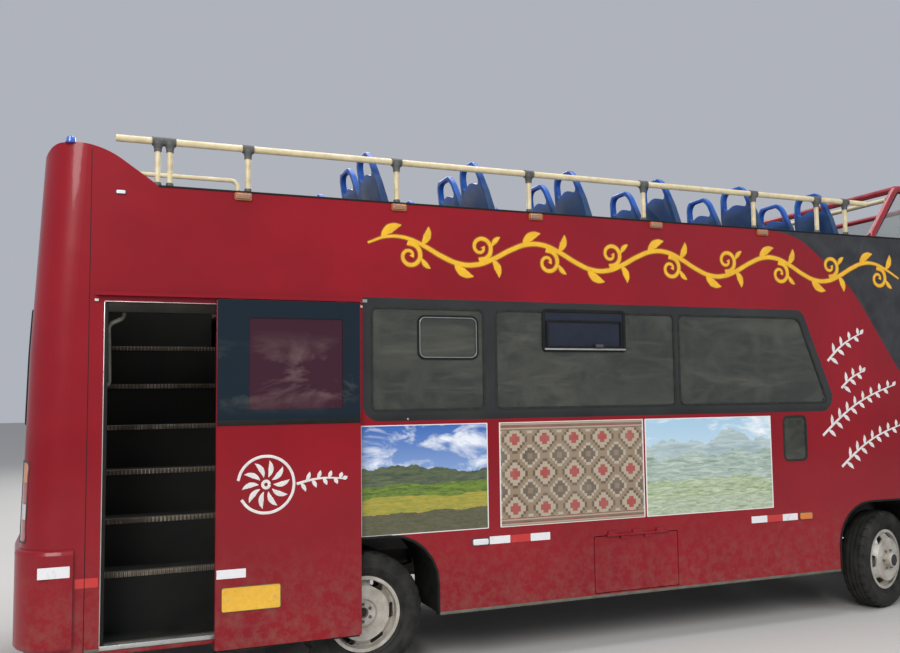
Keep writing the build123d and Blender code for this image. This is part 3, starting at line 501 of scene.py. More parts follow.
def paintFinish(name):
    material, tree, shader = newFinish(name, specular=0.22, coatWeight=0.28, coatRoughness=0.07)
    place = objectPlace(tree)
    axes = axesOf(tree, place)
    fade = spread(tree, noiseOf(tree, place, 0.9, 4, 0.6), 0.35, 0.7)
    red = mixOf(tree, fade, paintwork["deepCrimson"], paintwork["crimson"])
    mottle = spread(tree, noiseOf(tree, place, 5, 5, 0.65, 0.4), 0.35, 0.68)
    grey = mixOf(tree, mottle, paintwork["charcoal"], paintwork["ashGrey"])
    colour = mixOf(tree, sweepMask(tree, axes[0], axes[2]), red, grey)
    # road dust climbs from the skirt in specks
    specks = spread(tree, noiseOf(tree, place, 14, 6, 0.7), 0.42, 0.75, 0.0, paintwork["dustMost"])
    dust = times(tree, spread(tree, axes[2], *paintwork["dustHeights"]), specks)
    wire(tree, mixOf(tree, dust, colour, paintwork["roadDust"]), shader, "Base Color")
    wire(tree, spread(tree, dust, 0, 0.4, 0.3, 0.62), shader, "Roughness")
    # long waves of hand-beaten sheet under a fine orange peel
    wave = times(tree, noiseOf(tree, place, 1.6, 2, 0.5), 4.0)
    peel = times(tree, noiseOf(tree, place, 120, 2, 0.5), 0.02)
    bumpOf(tree, shader, plus(tree, wave, peel), 0.35, 0.006)
    return material


def plainFinish(name, colour, shade, scale, rough, relief=0.0, reliefScale=200.0, depth=0.0005, **sockets):
    # two close shades in a noise, roughness that varies with it, and a fine surface grain
    material, tree, shader = newFinish(name, **sockets)
    place = objectPlace(tree)
    patch = noiseOf(tree, place, scale, 5, 0.6)
    wire(tree, mixOf(tree, spread(tree, patch, 0.35, 0.68), colour, shade), shader, "Base Color")
    wire(tree, spread(tree, patch, 0.3, 0.7, rough[0], rough[1]), shader, "Roughness")
    if relief:
        bumpOf(tree, shader, noiseOf(tree, place, reliefScale, 3, 0.6), relief, depth)
    return material


def glassFinish(name, colour, haze, rough, alpha):
    # see-through glass under a thin film of dust and painted reflection, in patches and in wiped streaks
    material, tree, shader = newFinish(name, alpha=alpha, coatWeight=0.5, coatRoughness=0.02)
    place = objectPlace(tree)
    patches = spread(tree, noiseOf(tree, place, 3.0, 5, 0.7, 0.6), 0.45, 0.8)
    drawn = objectPlace(tree, (0.55, 1.0, 2.6))
    streaks = spread(tree, noiseOf(tree, drawn, 2.4, 8, 0.72, 0.8), 0.46, 0.74)
    # the film mixes dust and painted reflection into the glass colour
    film = times(tree, mathOf(tree, "MAXIMUM", patches, streaks), 0.45)
    wire(tree, mixOf(tree, film, colour, haze), shader, "Base Color")
    wire(tree, spread(tree, patches, 0, 1, *rough), shader, "Roughness")
    bumpOf(tree, shader, noiseOf(tree, place, 1.3, 1, 0.4), 0.25, 0.01)
    return material


def chequerFinish(name, colour, worn):
    # ribbed step metal: raised bars crossing at right angles, worn bright on their tops
    material, tree, shader = newFinish(name, metallic=0.85)
    place = objectPlace(tree)
    axes = axesOf(tree, place)
    rising, falling = plus(tree, axes[0], axes[1]), less(tree, axes[0], axes[1])
    bars = mathOf(tree, "MAXIMUM", ribsOf(tree, rising, 260), ribsOf(tree, falling, 260))
    high = spread(tree, bars, 0.6, 0.95)
    shine = times(tree, high, spread(tree, noiseOf(tree, place, 9, 5, 0.6), 0.4, 0.7))
    wire(tree, mixOf(tree, shine, colour, worn), shader, "Base Color")
    wire(tree, spread(tree, shine, 0, 1, 0.62, 0.3), shader, "Roughness")
    bumpOf(tree, shader, high, 0.5, 0.0015)
    return material


def lensFinish(name, colour, shade):
    # moulded lens: ribs inside, glossy outside
    material, tree, shader = newFinish(name, coatWeight=1.0, coatRoughness=0.03, roughness=0.25)
    ribs = ribsOf(tree, axesOf(tree, objectPlace(tree))[2], 520)
    wire(tree, mixOf(tree, spread(tree, ribs, -1, 1), colour, shade), shader, "Base Color")
    bumpOf(tree, shader, ribs, 0.35, 0.001)
    return material


seatBlue = {
    # the dusty shade is dust and painted shade low on the back; the bright one is the top round the grab loop
    "dusty": ((0.012, 0.042, 0.130), (0.030, 0.070, 0.150)),  # low on the back
    "bright": ((0.010, 0.075, 0.360), (0.016, 0.105, 0.440)),  # round the grab loop
    "change": (3.17, 3.27),  # heights between which one turns into the other
}


def seatFinish():
    material, tree, shader = newFinish("seatPlastic", coatWeight=0.12, coatRoughness=0.1)
    place = objectPlace(tree)
    patches = spread(tree, noiseOf(tree, place, 6, 5, 0.65), 0.38, 0.68)
    low, high = (mixOf(tree, patches, *seatBlue[part]) for part in ("dusty", "bright"))
    # painted shade: the lower back is darker than the top round the grab loop, mixed with dust
    level = spread(tree, axesOf(tree, place)[2], *seatBlue["change"])
    wire(tree, mixOf(tree, level, low, high), shader, "Base Color")
    wire(tree, spread(tree, patches, 0, 1, 0.32, 0.55), shader, "Roughness")
    bumpOf(tree, shader, noiseOf(tree, place, 420, 3, 0.6), 0.25, 0.0005)
    return material


def tyreFinish():
    material, tree, shader = newFinish("tyreRubber", iOR=1.35)
    place = objectPlace(tree)
    dusty = spread(tree, noiseOf(tree, place, 11, 6, 0.65), 0.4, 0.75)
    wire(tree, mixOf(tree, dusty, (0.010, 0.011, 0.010), (0.040, 0.038, 0.033)), shader, "Base Color")
    wire(tree, spread(tree, dusty, 0, 1, 0.62, 0.9), shader, "Roughness")
    bumpOf(tree, shader, noiseOf(tree, place, 300, 3), 0.2, 0.0006)
    return material


def clothFinish(name, colour, fleck, weave=1400.0):
    # woven seat cloth: crossing threads, with flecks of a lighter yarn
    material, tree, shader = newFinish(name, roughness=0.92, sheenWeight=0.35, sheenRoughness=0.5)
    place = objectPlace(tree)
    axes = axesOf(tree, place)
    warp = ribsOf(tree, axes[1], weave)
    weft = ribsOf(tree, plus(tree, axes[0], axes[2]), weave)
    dots = addNode(tree, "TexVoronoi", {"Vector": place, "Scale": 38.0})
    spots = spread(tree, dots.outputs["Distance"], 0.22, 0.12)
    wire(tree, mixOf(tree, spots, colour, fleck), shader, "Base Color")
    bumpOf(tree, shader, times(tree, warp, weft), 0.4, 0.0006)
    return material


creamShades = ((0.66, 0.57, 0.36), (0.50, 0.42, 0.25))
hoopRail = {"middle": (2.590, 3.350), "reach": 0.024, "halfLength": 1.075}


def hoopFinish():
    # dark red tube, with the grab tube across it in cream
    material, tree, shader = newFinish("hoopPaint", coatWeight=0.5, coatRoughness=0.06)
    place = objectPlace(tree)
    axes = axesOf(tree, place)
    aside = less(tree, axes[0], hoopRail["middle"][0])
    above = less(tree, axes[2], hoopRail["middle"][1])
    away = mathOf(tree, "SQRT", plus(tree, times(tree, aside, aside), times(tree, above, above)))
    inner = mathOf(tree, "LESS_THAN", mathOf(tree, "ABSOLUTE", axes[1]), hoopRail["halfLength"])
    cream = times(tree, mathOf(tree, "LESS_THAN", away, hoopRail["reach"]), inner)
    patch = spread(tree, noiseOf(tree, place, 7, 5, 0.6), 0.35, 0.7)
    red = mixOf(tree, patch, paintwork["deepCrimson"], paintwork["crimson"])
    wire(tree, mixOf(tree, cream, red, mixOf(tree, patch, *creamShades)), shader, "Base Color")
    wire(tree, spread(tree, patch, 0, 1, 0.22, 0.42), shader, "Roughness")
    bumpOf(tree, shader, noiseOf(tree, place, 120, 2), 0.1, 0.0004)
    return material


plainPaints = [
    # slot, name, two shades, then patch size, roughness, and strength, fineness and depth of the grain
    ("black_trim", "blackBandGlass", (0.010, 0.011, 0.011), (0.020, 0.022, 0.020), (2, (0.05, 0.14))),
    ("cream_paint", "creamRailPaint", *creamShades, (16, (0.3, 0.55), 0.15, 90)),
    ("chassis_black", "chassisPaint", (0.022, 0.022, 0.023), (0.085, 0.072, 0.058),
     (7, (0.5, 0.85), 0.3, 60, 0.001)),
    ("cast_grey", "castMetal", (0.09, 0.09, 0.092), (0.05, 0.045, 0.04), (9, (0.55, 0.8), 0.5, 140, 0.001)),
    ("wheel_silver", "wheelPaint", (0.58, 0.56, 0.51), (0.36, 0.32, 0.26), (10, (0.32, 0.6), 0.15, 120)),
    ("floor_grey", "floorCovering", (0.10, 0.10, 0.10), (0.15, 0.145, 0.135), (6, (0.7, 0.9), 0.3, 260)),
    ("step_metal", "stepPlate", (0.004, 0.005, 0.0045), (0.011, 0.012, 0.010), (7, (0.65, 0.9), 0.3, 180)),
    ("track_metal", "trackAluminium", (0.62, 0.62, 0.61), (0.45, 0.44, 0.42), (12, (0.25, 0.5), 0.1, 200)),
    ("dash_plastic", "dashPlastic", (0.045, 0.045, 0.048), (0.065, 0.064, 0.062), (8, (0.5, 0.7), 0.5, 500)),
    ("exhaust_steel", "exhaustSteel", (0.22, 0.19, 0.17), (0.12, 0.08, 0.055),
     (14, (0.45, 0.8), 0.4, 150, 0.001)),
    ("socket_grey", "railSocket", (0.055, 0.057, 0.058), (0.10, 0.10, 0.098), (18, (0.45, 0.7), 0.2, 300)),
    ("grab_grey", "grabTube", (0.17, 0.165, 0.135), (0.10, 0.098, 0.080), (15, (0.35, 0.55), 0.1, 200)),
]
paintSockets = {
    "black_trim": {"coatWeight": 0.5},
    "cream_paint": {"coatWeight": 0.2},
    "wheel_silver": {"metallic": 0.35},
    "step_metal": {"iOR": 1.3},
    "track_metal": {"metallic": 0.9},
    "exhaust_steel": {"metallic": 0.8},
    "grab_grey": {"metallic": 0.3},
}
finishes = {}
for slot, name, colour, shade, surface in plainPaints:
    finishes[slot] = plainFinish(name, colour, shade, *surface, **paintSockets.get(slot, {}))
finishes.update({
    "red_paint": paintFinish("crimsonPaint"),
    "tinted_glass": glassFinish("tintedGlass", (0.030, 0.034, 0.028), (0.18, 0.175, 0.135),
                                (0.02, 0.12), 0.84),
    "clear_glass": glassFinish("screenGlass", (0.25, 0.29, 0.28), (0.5, 0.5, 0.48), (0.02, 0.10), 0.28),
    "tyre_rubber": tyreFinish(),
    "seat_blue": seatFinish(),
    "saloon_seat": clothFinish("saloonCloth", (0.022, 0.034, 0.10), (0.16, 0.19, 0.34)),
    "lamp_lens": lensFinish("clearLens", (0.62, 0.64, 0.65), (0.82, 0.83, 0.84)),
    "tail_lens": lensFinish("redLens", (0.45, 0.008, 0.010), (0.62, 0.02, 0.02)),
})
paleMetal, redPaint, darkPlastic = (finishes[slot] for slot in ("track_metal", "red_paint", "dash_plastic"))


def finishNode(node, material):
    piece = cadNodes[node]
    if not piece.data.materials:
        piece.data.materials.append(material)
    for place in piece.material_slots:
        place.material = material


for row in frame["record"]["subparts"]:
    finishNode(row["node"], finishes[row["material_slot"]])
finishNode("front_hoop", hoopFinish())
finishNode("entry_door_track", redPaint)
print("finishes on all nodes")

# Places that many pieces share, read from the frame

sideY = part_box("right_upper_side")[0].y  # outer face of the right-hand wall
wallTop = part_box("guard_rails")[0].z
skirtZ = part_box("front_bumper")[0].z
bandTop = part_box("right_window_frame")[1].z
doorLow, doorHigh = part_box("entry_door")
doorwayX = (-3.556, -2.740)
doorwayTop = bandTop - 0.071


def wallDepth(front, behind=0.0):
    # from so far in front of the right-hand wall's face to so far behind it
    return (sideY - front, sideY + behind)


# Picture panels: generic landscapes and a stepped weave, printed on thin film

pictures = {
    "height": (0.870, 1.565),
    "hillSpan": (-2.039, -1.162),
    "weaveSpan": (-1.077, 0.059),
    "peakSpan": (0.073, 1.207),
    "thickness": 0.0016,
    "corner": 0.006,
    "edge": 0.010,  # pale border, as a share of the width
    "diamonds": (5, 3, 6),  # columns, rows, steps to a side
}


def panelPlace(tree, span):
    # across and up the panel, both from 0 to 1
    axes = axesOf(tree, objectPlace(tree))
    across = spread(tree, axes[0], span[0], span[1])
    up = spread(tree, axes[2], *pictures["height"])
    return across, up


def paleEdge(tree, across, up):
    edge = pictures["edge"]
    sides = [mathOf(tree, "MINIMUM", way, less(tree, 1.0, way)) for way in (across, up)]
    return spread(tree, mathOf(tree, "MINIMUM", *sides), edge, edge * 0.6)


def landscapeFinish(name, span, sky, cloud, ridges):
    # ridges: seed, base height, relief, roughness of the skyline, far shade, near shade, patch scale
    material, tree, shader = newFinish(name, roughness=0.32, coatWeight=0.25)
    across, up = panelPlace(tree, span)
    tall = times(tree, up, 1.6)
    flat = addNode(tree, "CombineXYZ", {0: across, 1: tall, 2: ridges[0][0]}).outputs[0]
    colour = mixOf(tree, up, sky[0], sky[1])
    puffs = spread(tree, noiseOf(tree, flat, 3.2, 7, 0.62, 0.5), 0.48, 0.66)
    colour = mixOf(tree, puffs, colour, cloud)
    for seed, base, relief, detail, far, near, patches in ridges:
        line = addNode(tree, "CombineXYZ", {0: across, 1: seed, 2: seed * 0.7}).outputs[0]
        skyline = less(tree, noiseOf(tree, line, 3.0, detail, 0.6), 0.5)
        top = plus(tree, times(tree, skyline, relief), base)
        under = spread(tree, less(tree, top, up), -0.002, 0.004)
        drawn = {"Vector": flat, "Scale": (1.0, 2.6, 1.0), "Location": (seed, 0, 0)}
        ground = addNode(tree, "Mapping", drawn).outputs[0]
        tone = spread(tree, noiseOf(tree, ground, patches, 8, 0.68, 0.8), 0.36, 0.64)
        colour = mixOf(tree, under, colour, mixOf(tree, tone, far, near))
    wire(tree, mixOf(tree, paleEdge(tree, across, up), colour, (0.75, 0.75, 0.72)), shader, "Base Color")
    bumpOf(tree, shader, noiseOf(tree, objectPlace(tree), 25, 3), 0.15, 0.001)
    return material


def weaveFinish(name, span):
    # rows of stepped diamonds between striped bands, in grey, brown, cream and red wool
    material, tree, shader = newFinish(name, roughness=0.5, coatWeight=0.15)
    across, up = panelPlace(tree, span)

    def stepsOf(value, count, stairs):
        inCell = mathOf(tree, "FRACT", times(tree, value, count))
        fromMiddle = mathOf(tree, "ABSOLUTE", less(tree, inCell, 0.5))
        stair = mathOf(tree, "FLOOR", times(tree, fromMiddle, stairs * 2))
        return mathOf(tree, "DIVIDE", stair, stairs)

    columns, rows, stairs = pictures["diamonds"]
    diamond = plus(tree, stepsOf(across, columns, stairs), stepsOf(up, rows, stairs))
    wool = rampOf(
        tree, mathOf(tree, "DIVIDE", diamond, 2),
        (0.0, (0.34, 0.03, 0.03)), (0.12, (0.42, 0.35, 0.25)), (0.26, (0.085, 0.055, 0.035)),
        (0.38, (0.26, 0.18, 0.11)), (0.52, (0.44, 0.39, 0.30)), (0.66, (0.11, 0.075, 0.05)),
        (0.8, (0.21, 0.15, 0.10)),
    )
    wool.node.color_ramp.interpolation = "CONSTANT"
    stripe = mathOf(tree, "FRACT", times(tree, up, 24))
    band = rampOf(
        tree, stripe, (0.0, (0.16, 0.10, 0.07)), (0.35, (0.38, 0.32, 0.22)), (0.7, (0.24, 0.04, 0.035))
    )
    band.node.color_ramp.interpolation = "CONSTANT"
    ends = mathOf(tree, "ABSOLUTE", less(tree, up, 0.5))
    colour = mixOf(tree, mathOf(tree, "GREATER_THAN", ends, 0.42), wool, band)
    worn = spread(tree, noiseOf(tree, objectPlace(tree), 6, 6, 0.7), 0.3, 0.7, 0.0, 0.35)
    colour = mixOf(tree, worn, colour, (0.34, 0.30, 0.24))
    wire(tree, mixOf(tree, paleEdge(tree, across, up), colour, (0.70, 0.69, 0.64)), shader, "Base Color")
    bumpOf(tree, shader, ribsOf(tree, across, 900), 0.2, 0.0006)
    return material


def addPictures():
    hill = landscapeFinish(
        "hillPictureFilm", pictures["hillSpan"], ((0.42, 0.58, 0.80), (0.03, 0.12, 0.42)), (0.78, 0.82, 0.88),
        [
            (1.7, 0.60, 0.28, 9, (0.035, 0.055, 0.04), (0.12, 0.15, 0.07), 9),
            (4.1, 0.45, 0.16, 5, (0.05, 0.09, 0.015), (0.17, 0.26, 0.03), 12),
            (7.9, 0.34, 0.12, 3, (0.42, 0.33, 0.05), (0.20, 0.24, 0.03), 14),
            (11.3, 0.20, 0.14, 5, (0.055, 0.07, 0.025), (0.13, 0.11, 0.07), 18),
        ],
    )
    weave = weaveFinish("weavePictureFilm", pictures["weaveSpan"])
    peak = landscapeFinish(
        "peakPictureFilm", pictures["peakSpan"], ((0.70, 0.80, 0.84), (0.36, 0.56, 0.72)), (0.86, 0.90, 0.92),
        [
            (2.9, 0.78, 0.62, 8, (0.30, 0.40, 0.42), (0.50, 0.60, 0.60), 6),
            (6.3, 0.60, 0.55, 9, (0.20, 0.30, 0.24), (0.52, 0.60, 0.54), 8),
            (9.4, 0.36, 0.26, 7, (0.20, 0.30, 0.13), (0.56, 0.62, 0.46), 11),
            (13.6, 0.16, 0.12, 5, (0.55, 0.60, 0.50), (0.24, 0.33, 0.17), 15),
        ],
    )
    y = wallDepth(pictures["thickness"], 0.0005)
    for word, film in (("hill", hill), ("weave", weave), ("peak", peak)):
        span, corner = pictures[word + "Span"], pictures["corner"]
        panel = roundedPlate(word + "Picture", span, y, pictures["height"], corner, bevel=0.0004)
        finishPiece(panel, film, "black_trim")


addPictures()
print("picture panels")


# Reflective tapes, side repeaters and amber reflectors

tapes = {
    "thickness": 0.0008,
    "rows": [  # name, colour, from, to, low, high, body, how far the face stands out
        ("doorTape", "white", -2.926, -2.757, 0.697, 0.749, "entry_door", -doorLow.y),
        ("bumperTape", "white", -3.880, -3.716, 0.771, 0.833, "bus_body", 1.176),
        ("cornerTape", "red", -3.690, -3.570, 0.702, 0.754, "bus_body", -sideY),
        ("rearTapeOne", "white", -1.157, -1.007, 0.766, 0.816, "bus_body", -sideY),
        ("rearTapeTwo", "red", -1.005, -0.857, 0.766, 0.816, "bus_body", -sideY),
        ("rearTapeThree", "white", -0.855, -0.707, 0.766, 0.816, "bus_body", -sideY),
        ("frontTapeOne", "white", 0.995, 1.142, 0.766, 0.816, "bus_body", -sideY),
        ("frontTapeTwo", "red", 1.144, 1.288, 0.766, 0.816, "bus_body", -sideY),
        ("frontTapeThree", "white", 1.290, 1.435, 0.766, 0.816, "bus_body", -sideY),
    ],
    "lampRows": [  # name, lens, from, to, low, high
        ("sideRepeater", "clear", -1.285, -1.163, 0.761, 0.812),
        ("sideReflector", "amber", 1.447, 1.576, 0.761, 0.822),
    ],
    "lampDepth": 0.014,
    "lampInset": 0.006,
}


def tapeFinish(name, colour, shade):
    # prismatic tape: a fine honeycomb that glints
    material, tree, shader = newFinish(name, roughness=0.28, coatWeight=0.5)
    place = objectPlace(tree)
    cells = addNode(tree, "TexVoronoi", {"Vector": place, "Scale": 190.0}, feature="DISTANCE_TO_EDGE")
    web = spread(tree, cells.outputs["Distance"], 0.02, 0.08)
    grime = spread(tree, noiseOf(tree, place, 22, 5, 0.7), 0.55, 0.8, 0.0, 0.45)
    colour = mixOf(tree, web, shade, colour)
    wire(tree, mixOf(tree, grime, colour, (0.26, 0.22, 0.18)), shader, "Base Color")
    bumpOf(tree, shader, web, 0.25, 0.0004)
    return material


whiteTape = tapeFinish("whiteTapeFilm", (0.78, 0.78, 0.80), (0.62, 0.62, 0.64))
redTape = tapeFinish("redTapeFilm", (0.55, 0.02, 0.02), (0.38, 0.01, 0.01))
amberLens = lensFinish("amberLens", (0.75, 0.22, 0.02), (0.55, 0.13, 0.01))


def addTapes():
    for name, colour, start, end, low, high, body, reach in tapes["rows"]:
        y = (-reach - tapes["thickness"], -reach + 0.0004)
        film = whiteTape if colour == "white" else redTape
        tape = roundedPlate(name, (start, end), y, (low, high), 0.003, bevel=0.0002)
        if body == "bus_body" and name != "cornerTape":
            finishPiece(mirrored(tape, name + "Left"), film, "lamp_lens", body)
        finishPiece(tape, film, "lamp_lens", body)
    inset = tapes["lampInset"]
    for name, colour, start, end, low, high in tapes["lampRows"]:
        x, z = (start, end), (low, high)
        base = roundedPlate(name + "Base", x, wallDepth(0.004), z, 0.008, bevel=0.001)
        y = wallDepth(tapes["lampDepth"], -0.003)
        lens = domedPlate(name, shrunk(x, inset), y, shrunk(z, inset), 0.012, 0.005)
        glow = finishes["lamp_lens"] if colour == "clear" else amberLens
        finishPair(lens, name + "Left", glow, "lamp_lens")
        finishPair(base, name + "BaseLeft", darkPlastic, "dash_plastic")


addTapes()
print("tapes and side lamps")


# Side marker lamps under the guard rail's posts, tan lens in an orange surround

markers = {
    "middles": [-2.777, -1.772, -0.773, 0.218, 1.195],
    "size": (0.104, 0.046),
    "height": 2.980,
    "depth": 0.022,
    "rim": 0.007,
}


def addMarkers():
    width, tall = markers["size"]
    middle, level, depth, rim = markers["middles"][0], markers["height"], markers["depth"], markers["rim"]
    x = (middle - width / 2, middle + width / 2)
    z = (level - tall / 2, level + tall / 2)
    surround = ringPlate("markerSurround", x, wallDepth(depth * 0.6, 0.001), z, 0.010, rim, bevel=0.001)
    lens = domedPlate("markerLens", shrunk(x, rim), wallDepth(depth, 0.001), shrunk(z, rim), 0.007, 0.006)
    tan = lensFinish("tanLens", (0.34, 0.20, 0.12), (0.24, 0.13, 0.08))
    orange = plainFinish("orangeSurround", (0.50, 0.14, 0.03), (0.34, 0.10, 0.03), 30, (0.35, 0.6), 0.2, 300)
    lenses, surrounds = [], []
    for station in markers["middles"]:
        step = Matrix.Translation((station - middle, 0, 0))
        for across in (False, True):
            for source, made in ((lens, lenses), (surround, surrounds)):
                twin = copyPiece(source, source.name + "Copy", step)
                made.append(moveLeft(twin) if across else twin)
    bpy.data.objects.remove(lens)
    bpy.data.objects.remove(surround)
    finishPiece(joinPieces(lenses, "markerLenses"), tan, "lamp_lens")
    finishPiece(joinPieces(surrounds, "markerSurrounds"), orange, "lamp_lens")


addMarkers()
print("marker lamps")


# Window rubbers, the sliding vent in the first window and the open vent in the second

glazing = {
    "rubberWidth": 0.016,
    "rubberDepth": (0.0025, 0.012),  # in front of and behind the wall's outer face
    "rubberLap": 0.004,
    "height": (1.655, 2.325),
    "corner": 0.045,
    "rightSpans": [(-1.965, -1.175), (-1.094, 0.352)],
    "leftSpans": [(-3.460, -2.740), (-2.660, -1.175), (-1.094, 0.352)],
    "frontSpan": (0.385, 1.790),
    "frontRake": 0.270,
    "smallWindow": ((1.328, 1.557), (1.215, 1.561)),
    "cabWindow": ((2.930, 3.400), (1.500, 2.230)),
    "doorWindow": ((2.930, 3.390), (1.500, 2.230)),
    "ventOne": ((-1.651, -1.218), (1.985, 2.279)),
    "ventTwo": ((-0.737, -0.069), (2.043, 2.340)),
}
ventRings = {
    # name: inset across, at the foot and at the head, in front of the wall and behind, corner, width, bevel
    "slidingVentFrame": (0, 0, 0, (0.003, 0.006), 0.05, 0.017, 0.002),
    "slidingVentLip": (0.014, 0.014, 0.014, (0.0045, 0), 0.04, 0.004, 0.001),
    "hopperFrame": (0, 0, 0, (0.008, 0.010), 0.025, 0.022, 0.003),
    "hopperSash": (0.03, 0.028, 0.075, (0.016, -0.008), 0.015, 0.014, 0.002),
}
hopper = {
    "shadeInset": 0.02,
    "shadeDepth": (0.002, 0.004),
    "edgeHeight": (0.012, 0.024),  # above the opening's foot
    "edgeDepth": (0.020, -0.006),
    "latchFromFront": (0.26, 0.20),
    "latchHeight": (0.03, 0.052),
    "latchDepth": (0.034, -0.014),
}


def rubberFinish(name, colour, shade):
    return plainFinish(name, colour, shade, 20, (0.55, 0.8), 0.25, 350, iOR=1.3)


greyRubber = rubberFinish("glazingRubber", (0.015, 0.017, 0.015), (0.030, 0.032, 0.028))
blackRubber = rubberFinish("blackRubber", (0.006, 0.007, 0.006), (0.014, 0.015, 0.013))


def addRubbers():
    def ring(x, z, corner, rake=0.0, name="rubber"):
        x, z = (shrunk(span, -glazing["rubberLap"]) for span in (x, z))
        y, width = wallDepth(*glazing["rubberDepth"]), glazing["rubberWidth"]
        return ringPlate(name, x, y, z, corner, width, rake, bevel=0.002)

    made = {}
    for side in ("right", "left"):
        made[side] = [ring(span, glazing["height"], glazing["corner"]) for span in glazing[side + "Spans"]]
        made[side].append(ring(glazing["frontSpan"], glazing["height"], 0.06, glazing["frontRake"]))
    made["right"] += [ring(*glazing[window], 0.05) for window in ("smallWindow", "cabWindow")]
    finishPiece(joinPieces(made["right"], "rightWindowRubbers"), greyRubber, "black_trim")
    finishPiece(moveLeft(joinPieces(made["left"], "leftWindowRubbers")), greyRubber, "black_trim")
    cab = moveLeft(ring(*glazing["doorWindow"], 0.06, name="driverDoorRubber"))
    finishPiece(cab, greyRubber, "black_trim", "driver_door")


def addVentRing(name, window, slot="black_trim"):
    x, z = glazing[window]
    aside, foot, head, depth, corner, width, bevel = ventRings[name]
    z = (z[0] + foot, z[1] - head)
    ring = ringPlate(name, shrunk(x, aside), wallDepth(*depth), z, corner, width, bevel=bevel)
    finishPiece(ring, blackRubber if slot == "black_trim" else finishes[slot], slot)


def addVents():
    # first window: a sliding vent in a thin rounded frame
    addVentRing("slidingVentFrame", "ventOne")
    addVentRing("slidingVentLip", "ventOne", "track_metal")
    # second window: a hopper, its sash standing out at the foot
    addVentRing("hopperFrame", "ventTwo")
    x, z = glazing["ventTwo"]
    inset = hopper["shadeInset"]
    # painted shade: a dark navy sheet across the opening stands in for the shade inside the open vent
    opening = roundedPlate("hopperOpening", shrunk(x, inset), wallDepth(*hopper["shadeDepth"]),
                           shrunk(z, inset), 0.02)
    navy = plainFinish("hopperShade", (0.006, 0.010, 0.022), (0.010, 0.016, 0.032), 6, (0.25, 0.4))
    finishPiece(opening, navy, "black_trim")
    addVentRing("hopperSash", "ventTwo")
    low, high = (z[0] + rise for rise in hopper["edgeHeight"])
    edge = spanBox("hopperLowerEdge", shrunk(x, 0.01), wallDepth(*hopper["edgeDepth"]), (low, high), 0.002)
    finishPiece(settle(edge), paleMetal, "track_metal")
    start, end = (x[1] - back for back in hopper["latchFromFront"])
    low, high = (z[0] + rise for rise in hopper["latchHeight"])
    latch = spanBox("hopperLatch", (start, end), wallDepth(*hopper["latchDepth"]), (low, high), 0.005, 3)
    finishPiece(settle(latch), darkPlastic, "dash_plastic")


addRubbers()
addVents()
print("glazing")


# Entry door: dark glass across its upper half, a blank yellow plate and a painted rosette

entryDoor = {
    "glassHeight": (1.597, 2.341),
    "paneX": (-2.745, -2.166),
    "paneZ": (1.680, 2.234),
    "glassProud": 0.0035,
    "edge": 0.003,  # how far the glass stops short of the door's edges
    "skyScale": (1.6, 1.6, 3.52),
    "skyFade": ((2.17, 1.95), (1.64, 1.76)),  # none to full: down from the top, up from the foot
    "plateX": (-2.897, -2.552),
    "plateZ": (0.505, 0.645),
    "rosetteCentre": (-2.640, 1.232),
    "rosetteRadius": 0.150,
    "ink": (0.74, 0.72, 0.70),
    "plateYellow": (0.78, 0.45, 0.035),
    "petals": 10,
    "petalFoot": 0.045,  # from the rosette's centre
    "rings": [  # name, radius, half width, degrees
        ("rosetteRing", 0.168, 0.0085, range(-150, 171, 20)),
        ("rosetteEye", 0.020, 0.009, range(0, 361, 45)),
    ],
    # the sprig's foot from the centre, then as sprigStrokes
    "sprig": ((0.185, -0.005), 0.29, math.radians(4), 4, 0.060, 0.0085),
    "plateBolt": [(0, -0.0028), (0.0035, -0.0026), (0.0055, -0.0016), (0.006, 0.0), (0, 0.0)],
}


def plateWithHole(name, x, y, z, radius, holeX, holeZ, holeRadius, bevel=0.0):
    piece = roundedPlate(name, x, y, z, radius)
    cutAway(piece, roundedPlate("cutter", holeX, shrunk(y, -0.01), holeZ, holeRadius))
    if bevel:
        easeEdges(piece, bevel)
    return piece


def skyGlassFinish(name, colour, reflected):
    # dark glass that carries soft bands like a reflected cloudy skyline
    material, tree, shader = newFinish(name, specular=0.25, roughness=0.08, coatWeight=0.15,
                                       coatRoughness=0.02)
    height = axesOf(tree, objectPlace(tree))[2]
    drawn = objectPlace(tree, entryDoor["skyScale"])
    cloud = spread(tree, noiseOf(tree, drawn, 1.4, 6, 0.62, 0.5), 0.50, 0.72)
    above, below = (spread(tree, height, *span) for span in entryDoor["skyFade"])
    cloud = times(tree, cloud, times(tree, above, below))
    wire(tree, mixOf(tree, cloud, colour, reflected), shader, "Base Color")
    bumpOf(tree, shader, noiseOf(tree, objectPlace(tree), 2.0, 2), 0.2, 0.008)
    return material


def finishOnDoor(piece, material, slot):
    return finishPiece(settle(piece), material, slot, "entry_door")


